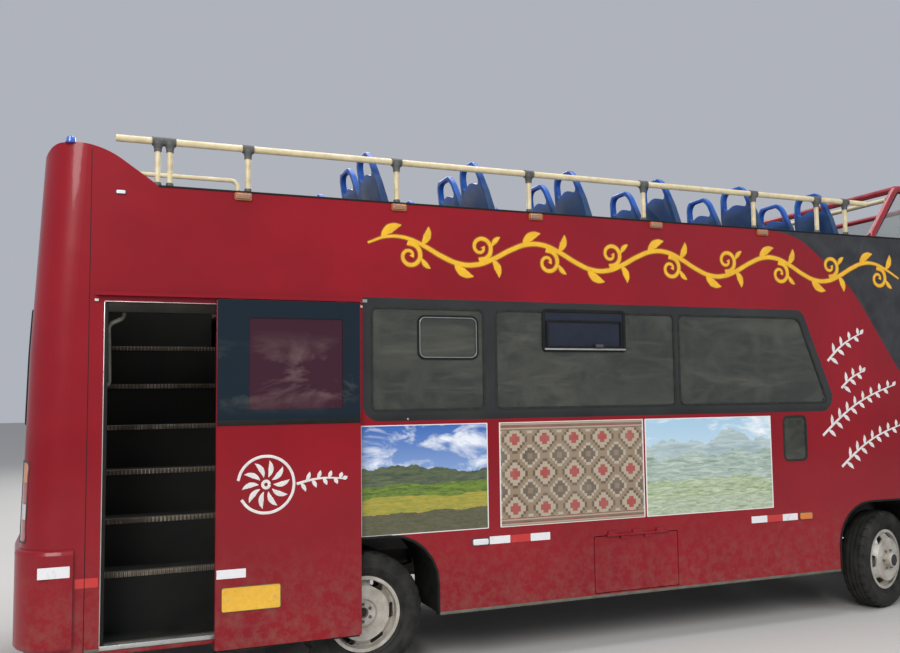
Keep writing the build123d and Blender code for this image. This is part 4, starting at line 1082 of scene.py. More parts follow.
def addDoorGlass():
    face, foot = doorLow.y, entryDoor["glassHeight"][0]
    y = (face - entryDoor["glassProud"], face + 0.0005)
    x = (doorLow.x + entryDoor["edge"], doorHigh.x - entryDoor["edge"])
    hole = entryDoor["paneX"], entryDoor["paneZ"]
    panel = plateWithHole("doorGlassPanel", x, y, entryDoor["glassHeight"], 0.006, *hole, 0.012, bevel=0.0008)
    navy = skyGlassFinish("doorGlassNavy", (0.006, 0.014, 0.023), (0.085, 0.090, 0.08))
    # through the pane the wall behind the open door shows as a dim red
    pane = skyGlassFinish("doorPaneGlass", (0.040, 0.010, 0.020), (0.155, 0.095, 0.095))
    finishNode("entry_door_glass", pane)
    finishPiece(panel, navy, "black_trim", "entry_door")
    seal = spanBox("doorGlassSeal", x, (y[0] - 0.0015, y[1]), (foot - 0.010, foot + 0.022), 0.0015)
    finishOnDoor(seal, blackRubber, "black_trim")
    # thin folded edges down both sides of the door skin, and a rubber along its foot
    tall = (doorLow.z + 0.004, doorHigh.z - 0.03)
    for name, start in (("doorRearEdge", doorLow.x - 0.001), ("doorFrontEdge", doorHigh.x - 0.004)):
        strip = spanBox(name, (start, start + 0.005), (face - 0.0012, face + 0.03), tall, 0.001)
        finishOnDoor(strip, redPaint, "red_paint")
    span = (doorLow.x + 0.01, doorHigh.x - 0.01)
    z = (doorLow.z - 0.010, doorLow.z + 0.012)
    rubber = spanBox("doorFootRubber", span, (face + 0.006, face + 0.014), z, 0.002)
    finishOnDoor(rubber, blackRubber, "black_trim")


def addDoorPlate():
    x, y, z = entryDoor["plateX"], doorLow.y, entryDoor["plateZ"]
    sheet = roundedPlate("blankPlate", x, (y - 0.003, y - 0.0002), z, 0.014)
    editFaces(sheet, lambda c, n: n.y < -0.9)
    bpy.ops.mesh.inset(thickness=0.007)
    bpy.ops.transform.translate(value=(0, 0.0012, 0))
    endEdit()
    easeEdges(sheet, 0.0006)
    yellow = plainFinish(
        "plateYellow", entryDoor["plateYellow"], (0.70, 0.38, 0.03), 30, (0.3, 0.5), 0.15, 200, coatWeight=0.3
    )
    finishOnDoor(sheet, yellow, "track_metal")
    outer = [shrunk(span, -0.002) for span in (x, z)]
    rim = ringPlate("blankPlateRim", outer[0], (y - 0.0038, y - 0.0002), outer[1], 0.016, 0.004, bevel=0.0008)
    dark = plainFinish(
        "plateRim", (0.10, 0.085, 0.04), (0.20, 0.17, 0.10), 30, (0.35, 0.55), 0.1, 200, metallic=0.5
    )
    finishOnDoor(rim, dark, "track_metal")
    shape, middle = entryDoor["plateBolt"], (z[0] + z[1]) / 2
    bolts = [turnedPiece("plateBolt", shape, (spot, y - 0.0018, middle), 20) for spot in shrunk(x, 0.035)]
    finishPiece(joinPieces(bolts, "blankPlateBolts"), paleMetal, "track_metal", "entry_door")


# Brush strokes: a curve with a width at every point, made a mesh and pressed flat on a panel

strokeShape = {
    "depth": 0.0012,
    "sideSegments": 2,
    "resolution": 7,
    "bow": 0.06,
    "scrollSteps": 11,
    "stemSteps": 12,
}
def brushStroke(name, points, panelY):
    # points are (x, z, half width); panelY is the face that the stroke lies on
    widest = max(width for x, z, width in points)
    places = [(x, 0, z) for x, z, width in points]
    shares = [width / widest for x, z, width in points]
    piece = curveThrough(name, places, shares, widest, strokeShape["sideSegments"], strokeShape["resolution"])
    piece.scale = (1, strokeShape["depth"] / widest, 1)
    piece.location = (0, panelY, 0)
    return settle(piece, 60)


def onCircle(centre, radius, turn):
    return centre[0] + radius * math.cos(turn), centre[1] + radius * math.sin(turn)


def scrollPoints(centre, start, end, turns, angle, width, side):
    # a spiral from the outer radius to the inner one; side -1 winds the other way
    points = []
    for step in range(strokeShape["scrollSteps"] + 1):
        share = step / strokeShape["scrollSteps"]
        turn = angle + side * turns * 2 * math.pi * share
        taper = width * (1 - 0.55 * share)
        points.append((*onCircle(centre, start + (end - start) * share, turn), taper))
    points[-1] = (*points[-1][:2], width * 0.95)
    return points


def leafPoints(foot, length, angle, width, curl=0.25):
    shape = ((0.0, 0.12), (0.25, 0.7), (0.5, 1.0), (0.75, 0.72), (1.0, 0.05))
    return [(*onCircle(foot, length * share, angle + curl * share), width * part) for share, part in shape]


def sprigStrokes(foot, length, angle, pairs, leaf, width, y):
    # one bowed stem with a leaf to each side in turn, a bud at its tip
    def place(share):
        lift = strokeShape["bow"] * length * math.sin(share * math.pi)
        along = onCircle(foot, length * share, angle)
        return along[0] - lift * math.sin(angle), along[1] + lift * math.cos(angle)

    steps = strokeShape["stemSteps"]
    stem = [(*place(step / steps), width * (1 - 0.55 * step / steps)) for step in range(steps + 1)]
    strokes = [brushStroke("sprigStem", stem, y)]
    for number in range(pairs * 2):
        share = 0.08 + 0.84 * number / (pairs * 2 - 1)
        side = 1 if number % 2 else -1
        size = leaf * (1.1 - 0.45 * share)
        points = leafPoints(place(share), size, angle + side * 0.85, width * 1.5, side * 0.25)
        strokes.append(brushStroke("sprigLeaf", points, y))
    strokes.append(brushStroke("sprigBud", leafPoints(place(0.98), leaf * 0.6, angle, width * 1.6), y))
    return strokes


def addRosette():
    # a ring of long petals round an eye, and a sprig beside it
    centre, radius, y = entryDoor["rosetteCentre"], entryDoor["rosetteRadius"], doorLow.y
    strokes = []
    for number in range(entryDoor["petals"]):
        turn = 2 * math.pi * number / entryDoor["petals"]
        foot = onCircle(centre, entryDoor["petalFoot"], turn)
        strokes.append(brushStroke("petal", leafPoints(foot, radius - 0.05, turn - 0.25, 0.016, 0.5), y))
    for name, reach, width, turns in entryDoor["rings"]:
        points = [(*onCircle(centre, reach, math.radians(degrees)), width) for degrees in turns]
        strokes.append(brushStroke(name, points, y))
    (aside, above), *shape = entryDoor["sprig"]
    strokes += sprigStrokes((centre[0] + aside, centre[1] + above), *shape, y)
    white = plainFinish("signWhite", entryDoor["ink"], (0.60, 0.58, 0.56), 24, (0.4, 0.6), coatWeight=0.2)
    finishPiece(joinPieces(strokes, "doorRosette"), white, "red_paint", "entry_door")
    return white


addDoorGlass()
addDoorPlate()
whiteInk = addRosette()
print("entry door")


# Yellow vine along the upper side, and white sprigs ahead of the windows

vine = {
    "from": -1.985,
    "to": 2.600,
    "height": 2.705,
    "waves": 4.5,
    "amplitude": 0.085,
    "stem": 0.0165,
    "scrollRadius": 0.088,
    "leaf": (0.165, 0.030),
    "outline": 0.0055,
    "yellow": (0.80, 0.46, 0.012),
    "outlineColour": (0.30, 0.10, 0.008),
    "leaves": [  # from the crest, share of the length, degrees from the stem, share of the width, curl
        (-0.32, 1.0, -62, 1.0, 0.5),
        (0.22, 0.8, -38, 0.85, -0.5),
    ],
}
flourishes = {
    # foot x, foot z, length, rise angle in degrees, pairs of leaves
    "sprigs": [(1.800, 1.985, 0.42, 32, 4), (1.930, 1.770, 0.26, 30, 3), (1.720, 1.400, 0.86, 27, 8),
               (1.900, 1.150, 0.72, 26, 7)],
    "stroke": 0.0105,
    "leaf": 0.088,
}


def addVine():
    start, end, level = vine["from"], vine["to"], vine["height"]
    turns = vine["waves"] * 2 * math.pi

    def stemAt(share):
        return start + (end - start) * share, level + vine["amplitude"] * math.sin(turns * share + 0.4)

    steps, halves = int(vine["waves"] * 8), int(vine["waves"] * 2)
    stem = []
    for step in range(steps + 1):
        taper = min(1.0, 0.35 + 6 * min(step, steps - step) / steps)
        stem.append((*stemAt(step / steps), vine["stem"] * taper))
    rows = [stem]
    radius, (length, width) = vine["scrollRadius"], vine["leaf"]
    for number in range(halves):
        side = 1 if number % 2 else -1
        crest = (number + 0.5) / halves
        x, z = stemAt(crest)
        # a scroll curls into each hollow of the stem, with a leaf on its back
        centre = (x + 0.03, z + side * (radius + 0.030))
        rows.append(scrollPoints(centre, radius, 0.016, 1.35, math.radians(-100 * side), vine["stem"], side))
        for shift, share, degrees, part, curl in vine["leaves"]:
            foot, turn = stemAt(crest + shift / halves), math.radians(degrees * side)
            rows.append(leafPoints(foot, length * share, turn, width * part, curl * side))
        foot = (centre[0] + radius * 0.95, centre[1] + side * 0.012)
        rows.append(leafPoints(foot, length * 0.55, math.radians(70 * side), width * 0.6, -0.4 * side))
    edges = [[(x, z, breadth + vine["outline"]) for x, z, breadth in row] for row in rows]
    under = [brushStroke("vineEdge", row, sideY) for row in edges]
    over = [brushStroke("vineStroke", row, sideY - 0.0006) for row in rows]
    brown = plainFinish("vineOutline", vine["outlineColour"], (0.22, 0.07, 0.008), 20, (0.4, 0.6),
                        coatWeight=0.2)
    yellow = plainFinish("vineYellow", vine["yellow"], (0.70, 0.36, 0.010), 16, (0.35, 0.55), coatWeight=0.2)
    finishPiece(joinPieces(under, "sideVineOutline"), brown, "red_paint")
    finishPiece(joinPieces(over, "sideVine"), yellow, "red_paint")


def addFlourishes():
    strokes = []
    leaf, width = flourishes["leaf"], flourishes["stroke"]
    for footX, footZ, length, degrees, pairs in flourishes["sprigs"]:
        strokes += sprigStrokes((footX, footZ), length, math.radians(degrees), pairs, leaf, width, sideY)
    finishPiece(joinPieces(strokes, "whiteFlourishes"), whiteInk, "red_paint")


addVine()
addFlourishes()
print("painted ornament")


# Trims: doorway linings, sill and track strips, skirt and arch edges, wall-top rubbers, panel seams

trims = {
    "liningWidth": 0.020,
    "headerDepth": 0.058,
    "sillHeight": 0.369,
    "nosingDepth": 0.045,
    "nosingDrop": 0.028,
    "skirtRise": 0.019,
    "archLip": 0.013,
    "linerWall": 0.006,
    "linerDepth": 0.470,
    "wallRubber": (-3.270, 3.480),
    "seams": (-3.640, 3.480),
    "skirts": ((-3.636, -2.487), (-1.513, 1.843), (2.817, 3.476)),
    "arches": ((-2.485, -1.515), (1.845, 2.815)),
    "archTop": (0.873, 0.868),  # of the lip, of the liner
    "lipCorners": (0.332, 0.318),  # outside, inside
    "linerCorners": (0.330, 0.325),
    "linerStart": 0.033,  # behind the wall's outer face
    "inner": 0.040,  # from the wall's outer face to the doorway's inner edge
    "trackStops": (-3.612, -2.046),
    "stopSize": (0.022, 0.015),
    # name, slot, past the doorway's rear and front, depth at the wall, heights from the sill, bevel
    "sillStrips": [
        ("doorwayThreshold", "track_metal", (0.002, 0.004), (0.005, 0.050), (-0.019, 0.005), 0.002),
        ("doorwaySkirt", "red_paint", (0.004, 0.10), (0.002, 0.040), (-0.046, -0.020), 0.003),
    ],
    "doorwayTreads": (0.369, 0.720, 1.0033, 1.2867, 1.5700, 1.8533, 2.1367),
    "going": 0.250,
}


def addDoorway():
    rear, front = doorwayX
    inner, sill, width = trims["inner"], trims["sillHeight"], trims["liningWidth"]
    tall = (sill, doorwayTop)
    pieces = [
        spanBox("doorwayLining", x, wallDepth(-0.003, inner + 0.004), tall, 0.003)
        for x in ((rear - 0.001, rear + width), (front - width, front + 0.001))
    ]
    finishPiece(settle(joinPieces(pieces, "doorwayLinings")), blackRubber, "black_trim")
    z = (doorwayTop - trims["headerDepth"], doorwayTop + 0.001)
    header = spanBox("doorwayHeader", doorwayX, wallDepth(-0.004, inner), z, 0.004)
    olive = plainFinish(
        "headerStrip", (0.016, 0.014, 0.010), (0.009, 0.008, 0.006), 5, (0.5, 0.7), 0.15, 120, iOR=1.3
    )
    finishPiece(settle(header), olive, "dash_plastic")
    y = wallDepth(0.0015, 0.02)
    edges = [
        spanBox("rearEdge", (rear - 0.004, rear + 0.001), y, tall, 0.0008),
        spanBox("topEdge", (rear, front + 0.71), y, (doorwayTop + 0.001, doorwayTop + 0.005), 0.0008),
    ]
    finishPiece(settle(joinPieces(edges, "doorwayEdges")), paleMetal, "track_metal")
    for name, slot, (behind, ahead), depth, (low, high), bevel in trims["sillStrips"]:
        x, z = (rear - behind, front + ahead), (sill + low, sill + high)
        finishPiece(settle(spanBox(name, x, wallDepth(*depth), z, bevel)), finishes[slot], slot)
    long, tall = trims["stopSize"]
    y, z = wallDepth(0.012, 0.001), (doorwayTop + 0.001, doorwayTop + 0.001 + tall)
    stops = [spanBox("stop", (x, x + long), y, z, 0.003) for x in trims["trackStops"]]
    finishPiece(settle(joinPieces(stops, "trackEndStops")), whiteInk, "track_metal")


def addNosings():
    x, depth, drop = shrunk(doorwayX, 0.006), trims["nosingDepth"], trims["nosingDrop"]
    strips = []
    for number, tread in enumerate(trims["doorwayTreads"]):
        y = sideY + trims["inner"] + trims["going"] * number
        strip = spanBox("nosing", x, (y - 0.003, y + depth), (tread - drop, tread + 0.0035))
        # the back of the strip is cut away below the tread
        editVerts(strip, lambda p: p.y > y + depth - 1e-4 and p.z < tread - 1e-4)
        bpy.ops.transform.translate(value=(0, 0, drop))
        endEdit()
        easeEdges(strip, 0.0016)
        strips.append(settle(strip))
    worn = chequerFinish("wornNosing", (0.10, 0.085, 0.065), (0.42, 0.38, 0.32))
    finishPiece(joinPieces(strips, "stepNosings"), worn, "step_metal")


def addSkirts():
    z = (skirtZ, skirtZ + trims["skirtRise"])
    strips = [spanBox("skirtTrim", x, wallDepth(0.002, 0.006), z, 0.0012) for x in trims["skirts"]]
    skirt = settle(joinPieces(strips, "rightSkirtTrim"))
    finishPair(skirt, "leftSkirtTrim", finishes["grab_grey"], "grab_grey")


def addArches():
    lips, liners = [], []
    lip, wall = trims["archLip"], trims["linerWall"]
    lipTop, linerTop = trims["archTop"]
    lipOuter, lipInner = trims["lipCorners"]
    linerOuter, linerInner = trims["linerCorners"]

    def cutFoot(piece, x, z):
        # everything below this height goes, so that an arch is left
        cutAway(piece, spanBox("cutter", shrunk(x, -1), (sideY - 1, sideY + 1), (-1, z)))

    for x in trims["arches"]:
        y = wallDepth(0.005, 0.035)
        hole = shrunk(x, lip), (-0.5, lipTop - 0.002 - lip), lipInner
        ring = plateWithHole("archLip", shrunk(x, -0.002), y, (-0.4, lipTop), lipOuter, *hole)
        cutFoot(ring, x, skirtZ + 0.002)
        easeEdges(ring, 0.002)
        lips.append(settle(ring))
        y = wallDepth(-trims["linerStart"], trims["linerDepth"])
        hole = shrunk(x, wall), (-0.5, linerTop - wall), linerInner
        liner = plateWithHole("archLiner", shrunk(x, 0.001), y, (-0.4, linerTop), linerOuter, *hole)
        cutFoot(liner, x, skirtZ + 0.012)
        liners.append(settle(liner))
    finishPair(joinPieces(liners, "rightArchLiners"), "leftArchLiners", blackRubber, "black_trim")
    finishPair(joinPieces(lips, "rightArchLips"), "leftArchLips", blackRubber, "black_trim")


def addWallEdges():
    z = (wallTop - 0.009, wallTop + 0.004)
    rubber = spanBox("rightWallRubber", trims["wallRubber"], wallDepth(0.004, 0.044), z, 0.004, 3)
    finishPair(settle(rubber), "leftWallRubber", blackRubber, "black_trim")
    seams = []
    for x in trims["seams"]:
        top = 3.20 if x < 0 else wallTop - 0.01
        span, z = (x - 0.0022, x + 0.0022), (skirtZ + 0.002, top)
        seams.append(spanBox("seam", span, wallDepth(0.0008, 0.004), z, 0.0006))
    finishPair(settle(joinPieces(seams, "rightPanelSeams")), "leftPanelSeams", blackRubber, "black_trim")


addDoorway()
addNosings()
addSkirts()
addArches()
addWallEdges()
print("trims")


# Tyres: tread with grooves and shoulder blocks, ribbed sidewalls

tyres = {
    "radius": 0.3835,
    "halfWidth": 0.1055,
    "bead": 0.074,
    "rimRadius": 0.222,
    "grooves": [0.018, 0.052],  # middles of the tread grooves from the centre line
    "grooveWidth": 0.009,
    "grooveDepth": 0.009,
    "steps": 96,
    "twin": 0.120,
    "steer": 16.0,  # degrees, as stored
}


def tyreProfile():
    # the outer half from bead to the middle of the tread, then its mirror image: (radius, offset)
    half, bead, rim, radius = tyres["halfWidth"], tyres["bead"], tyres["rimRadius"], tyres["radius"]
    side = [
        (rim, bead - 0.004), (rim + 0.004, bead), (0.244, bead + 0.001), (0.252, bead + 0.006),
        (0.256, bead + 0.010), (0.258, bead + 0.0135), (0.262, bead + 0.0135), (0.264, bead + 0.012),
        (0.275, half - 0.0115),
        (0.290, half - 0.0035), (0.294, half - 0.0012), (0.297, half - 0.0012), (0.300, half - 0.0026),
        (0.312, half), (0.330, half - 0.0016), (0.334, half - 0.0012), (0.338, half - 0.0036),
        (0.350, half - 0.0050), (0.354, half - 0.0075), (radius - 0.012, half - 0.0165),
        (radius - 0.004, half - 0.0260), (radius - 0.0012, half - 0.0330),
    ]
    groove, deep = tyres["grooveWidth"] / 2, tyres["grooveDepth"]
    for middle in reversed(tyres["grooves"]):
        crown = radius - 0.0005 * (middle > 0.03)
        side += [(crown, middle + groove), (crown - deep, middle + groove * 0.6)]
        side += [(crown - deep, middle - groove * 0.6), (radius, middle - groove)]
    return side + [(r, -offset) for r, offset in reversed(side)] + [side[0]]


def makeTyre():
    turns, radius, half = tyres["steps"], tyres["radius"], tyres["halfWidth"]
    tyre = turnedPiece("tyre", tyreProfile(), (0, 0, 0), turns)

    # every third face of the shoulder is sunk, which leaves a row of blocks
    def onShoulder(centre, normal):
        reach, edge = math.hypot(centre.x, centre.z), abs(centre.y)
        number = round((math.atan2(centre.z, centre.x) / (2 * math.pi)) * turns - 0.5)
        inBand = tyres["grooves"][1] + 0.006 < edge < half - 0.012
        return number % 3 == 0 and reach > radius - 0.013 and inBand

    editFaces(tyre, onShoulder)
    bpy.ops.mesh.inset(thickness=0.0012, depth=-0.0065, use_individual=False)
    endEdit()
    return settle(tyre, 32)


def wheelPlace(node, steered):
    low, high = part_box(node)
    turn = Matrix.Rotation(math.radians(tyres["steer"]), 4, "Z") if steered else Matrix.Identity(4)
    return Matrix.Translation((low + high) / 2) @ turn


def addTyres():
    tyre = makeTyre()
    rows = [
        ("frontRightTyre", "front_right_tyre", [0], True, "front_right_wheel"),
        ("frontLeftTyre", "front_left_tyre", [0], True, "front_left_wheel"),
        ("rearRightTyres", "rear_right_tyres", [-1, 1], False, "rear_right_wheels"),
        ("rearLeftTyres", "rear_left_tyres", [-1, 1], False, "rear_left_wheels"),
    ]
    for name, node, sides, steered, body in rows:
        place = wheelPlace(node, steered)
        steps = [Matrix.Translation((0, side * tyres["twin"], 0)) for side in sides]
        whole = joinPieces([copyPiece(tyre, "tyreCopy", place @ step) for step in steps], name)
        finishPiece(whole, finishes["tyre_rubber"], "tyre_rubber", body)
        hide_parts(node)
    bpy.data.objects.remove(tyre)


# Wheel fittings: nuts round the hub, a dark cap in its middle painted as the shade in the hub's hole, and a
# bead round the rear trims

hubs = {
    "nutRadius": 0.0085,
    "nutHeight": 0.011,
    "count": 6,
    "front": {
        "ring": ("Nuts", 0.0775, 0.1010, 0.0),  # name, circle, how far outside the wheel's middle, turn
        "HubCap": [  # radius, how far outside the wheel's middle
            (0, 0.160), (0.026, 0.1595), (0.036, 0.156), (0.041, 0.1505), (0.046, 0.1505), (0.048, 0.144),
            (0, 0.144),
        ],
    },
    "rear": {
        "ring": ("Studs", 0.054, 0.1705, 0.5),
        "HubCap": [(0, 0.158), (0.012, 0.158), (0.014, 0.154), (0.029, 0.153), (0.0305, 0.1495), (0, 0.1495)],
        "TrimBead": [
            (0.0862, 0.1800), (0.0885, 0.1838), (0.0918, 0.1845), (0.0945, 0.1826), (0.094, 0.181),
            (0.0862, 0.1800),
        ],
    },
}
def makeNut(radius, height):
    # a chamfered hexagon on a washer, with the stud's end showing; along +Y
    deselectAll()
    middle, turn = (0, height / 2, 0), (math.pi / 2, 0, 0)
    bpy.ops.mesh.primitive_cylinder_add(vertices=6, radius=radius, depth=height, location=middle,
                                        rotation=turn)
    nut = bpy.context.object
    nut.name = "nut"
    settle(nut)
    easeEdges(nut, radius * 0.14)
    rounds = {  # steps, then radius and height as shares of the nut's
        "washer": (20, [(0, 0), (1.35, 0), (1.35, 0.14), (1.2, 0.2), (0, 0.2)]),
        "stud": (14, [(0, 1), (0.52, 1), (0.52, 1.32), (0.4, 1.42), (0, 1.42)]),
    }
    pieces = [nut]
    for name, (steps, shape) in rounds.items():
        profile = [(radius * wide, height * high) for wide, high in shape]
        pieces.append(turnedPiece(name, profile, (0, 0, 0), steps))
    return settle(joinPieces(pieces, "nut"))


def nutRing(nut, name, circle, face, outward, phase):
    made = []
    flip = Matrix.Rotation(math.pi if outward < 0 else 0, 4, "Z")
    for number in range(hubs["count"]):
        turn = 2 * math.pi * (number + phase) / hubs["count"]
        place = Matrix.Translation((circle * math.cos(turn), outward * face, circle * math.sin(turn)))
        made.append(copyPiece(nut, "nutCopy", place @ flip @ Matrix.Rotation(number * 0.4, 4, "Y")))
    return joinPieces(made, name)


def addHubs():
    nut = makeNut(hubs["nutRadius"], hubs["nutHeight"])
    steel = plainFinish(
        "nutSteel", (0.30, 0.28, 0.25), (0.14, 0.10, 0.07), 60, (0.35, 0.65), 0.3, 400, metallic=0.85
    )
    # painted shade: near-black caps stand in for the shade in the hole at each hub's middle
    black = plainFinish("hubBlack", (0.012, 0.012, 0.012), (0.035, 0.032, 0.028), 40, (0.45, 0.75), 0.3, 300)
    turned = (("HubCap", 40, black, "cast_grey"), ("TrimBead", 72, finishes["wheel_silver"], "wheel_silver"))
    for side, word in ((-1, "Right"), (1, "Left")):
        for axle, plural in (("front", ""), ("rear", "s")):
            stem, values = axle + "_" + word.lower() + "_", hubs[axle]
            place = wheelPlace(stem + "tyre" + plural, axle == "front")
            name, circle, face, phase = values["ring"]
            made = [(nutRing(nut, axle + word + name, circle, face, side, phase), steel, "cast_grey")]
            for name, steps, material, slot in turned:
                if name in values:
                    profile = [(radius, side * reach) for radius, reach in values[name]]
                    made.append((turnedPiece(axle + word + name, profile, (0, 0, 0), steps), material, slot))
            for piece, material, slot in made:
                piece.data.transform(place)
                finishPiece(piece, material, slot, stem + "wheel" + plural)
    bpy.data.objects.remove(nut)


addTyres()
addHubs()
print("wheels")


# Seats: shells with eased edges, and padded covers on them

seating = {
    "columns": (-0.890, -0.440, 0.440, 0.890),
    "upper": {"first": -1.780, "pitch": 0.770, "rows": 6, "floor": 2.420, "top": 0.960,
              "shift": (0.022, 0.030)},
    "saloon": {"first": -0.960, "pitch": 0.720, "rows": 4, "floor": 0.720, "top": 0.860,
               "shift": (0.024, 0.024)},
    "driver": {"place": (2.950, 0.720), "floor": 0.720, "top": 0.980, "shift": (0.024, 0.024)},
    "edge": 0.0035,
    "panHeight": 0.440,  # from the floor to the line where a pan meets its back
}
cushions = {
    "voxel": 0.011,
    "pressure": 4.0,
    "frames": 20,
    "swell": 0.010,
    "shrink": 0.006,
    "channel": 0.006,
}
pads = {  # length, width, thickness, corners at the near and far end, sewn channels
    "upperBack": (0.335, 0.345, 0.026, 0.060, 0.155),
    "upperPan": (0.360, 0.385, 0.028, 0.045, 0.070, [("across", 0.120)]),
    "saloonBack": (0.385, 0.375, 0.036, 0.045, 0.095, [("across", 0.285), ("along", 0.115)]),
    "saloonPan": (0.372, 0.395, 0.040, 0.040, 0.060, [("across", 0.100)]),
    "driverBack": (0.500, 0.370, 0.040, 0.045, 0.110, [("across", 0.360), ("along", 0.110)]),
}


def easedCopy(node, name):
    piece = copyPiece(cadNodes[node], name)
    for key in list(piece.keys()):
        if key.startswith("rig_"):
            del piece[key]
    makeActive(piece)
    bpy.ops.object.mode_set(mode="EDIT")
    bpy.ops.mesh.select_all(action="SELECT")
    bpy.ops.mesh.remove_doubles(threshold=2e-5)
    bpy.ops.mesh.dissolve_limited(angle_limit=math.radians(1.5))
    endEdit()
    sharp = math.radians(50)
    applyModifier(piece, "BEVEL", width=seating["edge"], segments=2, limit_method="ANGLE", angle_limit=sharp)
    return settle(piece, 40)


def softPad(name, depth, width, thickness, nearCorner, farCorner, channels=()):
    # a cushion lying on the XY plane: back end at X = 0, underside flat at Z = 0
    shrink = cushions["shrink"]
    pad = addBox(name, (shrink, -width / 2 + shrink, 0),
                 (depth - shrink, width / 2 - shrink, thickness * 0.72))
    for far, radius in ((False, nearCorner), (True, farCorner)):
        editEdges(pad, lambda a, b: abs(a.z - b.z) > 1e-5 and (a.x > depth / 2) == far)
        bpy.ops.mesh.bevel(offset=radius, segments=7, affect="EDGES")
        endEdit()
    applyModifier(pad, "BEVEL", width=thickness * 0.22, segments=3, limit_method="ANGLE")
    applyModifier(pad, "REMESH", mode="VOXEL", voxel_size=cushions["voxel"])
    flat = [point.index for point in pad.data.vertices if point.co.z < thickness * 0.16]
    group = pad.vertex_groups.new(name="flatUnderside")
    group.add(flat, 1.0, "REPLACE")
    before = [point.co.copy() for point in pad.data.vertices]
    makeActive(pad)
    cloth = pad.modifiers.new("cloth", "CLOTH")
    cloth.settings.use_pressure = True
    cloth.settings.uniform_pressure_force = cushions["pressure"]
    cloth.settings.quality = 6
    cloth.settings.mass = 0.25
    cloth.settings.vertex_group_mass = group.name
    cloth.settings.effector_weights.gravity = 0
    cloth.point_cache.frame_end = cushions["frames"]
    for frameNumber in range(1, cushions["frames"] + 1):
        bpy.context.scene.frame_set(frameNumber)
    bpy.ops.object.modifier_apply(modifier=cloth.name)
    bpy.context.scene.frame_set(1)
    for point, start in zip(pad.data.vertices, before):
        moved = point.co - start
        if moved.length > cushions["swell"]:
            point.co = start + moved.normalized() * cushions["swell"]
    pad.vertex_groups.clear()
    middle, half = depth / 2, width / 2
    for point in pad.data.vertices:
        if point.co.z < thickness * 0.4:
            continue
        # a little crown over the middle, and a sunk line at each sewn channel
        share = max(0.0, 1 - ((point.co.x - middle) / middle) ** 2) * max(0.0, 1 - (point.co.y / half) ** 2)
        point.co.z += thickness * 0.16 * share
        for way, line in channels:
            away = (point.co.x if way == "across" else abs(point.co.y)) - line
            point.co.z -= cushions["channel"] * math.exp(-(away / 0.007) ** 2)
    return settle(pad, 60)


def padPlace(x, y, values, isBack):
    # local axes of a pad: X up a back or forward over a pan, Z out of it; it starts where the two meet
    top, shift = values["top"], values["shift"][0 if isBack else 1]
    rise = (-(0.040 + 0.235 * (top - 0.390) - 0.034), 0, top - 0.440) if isBack else (0.400, 0, 0.022)
    along = Vector(rise).normalized()
    out = Vector((along.z, 0, -along.x)) if isBack else Vector((-along.z, 0, along.x))
    turn = Matrix((along, out.cross(along), out)).transposed().to_4x4()
    foot = Matrix.Translation((x, y, values["floor"] + seating["panHeight"]))
    return foot @ turn @ Matrix.Translation((shift, 0, 0.0005))


def padRows(deck, back, pan, names, material, slot):
    # a joined piece for every row of backs and every row of pans
    values = seating[deck]
    for row in range(values["rows"]):
        x = values["first"] + values["pitch"] * row
        for source, name in zip((back, pan), names):
            places = [padPlace(x, y, values, source is back) for y in seating["columns"]]
            whole = joinPieces([copyPiece(source, "padCopy", place) for place in places], name + str(row + 1))
            yield finishPiece(whole, material, slot)


def addUpperSeats():
    shells = easedCopy("upper_seats", "upperSeatShells")
    finishPiece(shells, finishes["seat_blue"], "seat_blue")
    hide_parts("upper_seats")
    back, pan = softPad("backPad", *pads["upperBack"]), softPad("panPad", *pads["upperPan"])
    cover = clothFinish("upperPadCloth", (0.020, 0.045, 0.095), (0.060, 0.105, 0.170), 1100.0)
    for whole in padRows("upper", back, pan, ("upperBackPads", "upperSeatPads"), cover, "seat_blue"):
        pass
    bpy.data.objects.remove(back)
    bpy.data.objects.remove(pan)


def addSaloonSeats():
    shells = easedCopy("lower_seats", "saloonSeatShells")
    moulded = plainFinish("saloonShell", (0.030, 0.032, 0.038), (0.045, 0.046, 0.052), 9, (0.45, 0.65),
                          0.4, 500)
    finishPiece(shells, moulded, "saloon_seat")
    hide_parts("lower_seats")
    back, pan = softPad("backPad", *pads["saloonBack"]), softPad("panPad", *pads["saloonPan"])
    names = ("saloonBackCushions", "saloonSeatCushions")
    for whole in padRows("saloon", back, pan, names, finishes["saloon_seat"], "saloon_seat"):
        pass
    driver = easedCopy("driver_seat", "driverSeatShell")
    finishPiece(driver, moulded, "saloon_seat")
    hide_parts("driver_seat")
    values = seating["driver"]
    grey = clothFinish("driverCloth", (0.045, 0.046, 0.050), (0.10, 0.10, 0.11))
    tall = softPad("tallBackPad", *pads["driverBack"])
    tall.data.transform(padPlace(*values["place"], values, True))
    seat = copyPiece(pan, "driverSeatCushion", padPlace(*values["place"], values, False))
    tall.name = "driverBackCushion"
    for pad in (tall, seat):
        finishPiece(pad, grey, "saloon_seat")
    bpy.data.objects.remove(back)
    bpy.data.objects.remove(pan)
addUpperSeats()
addSaloonSeats()
print("seats")


# Front end: wipers, mirror faces, lamps behind the headlamp glass, a mesh behind the grille

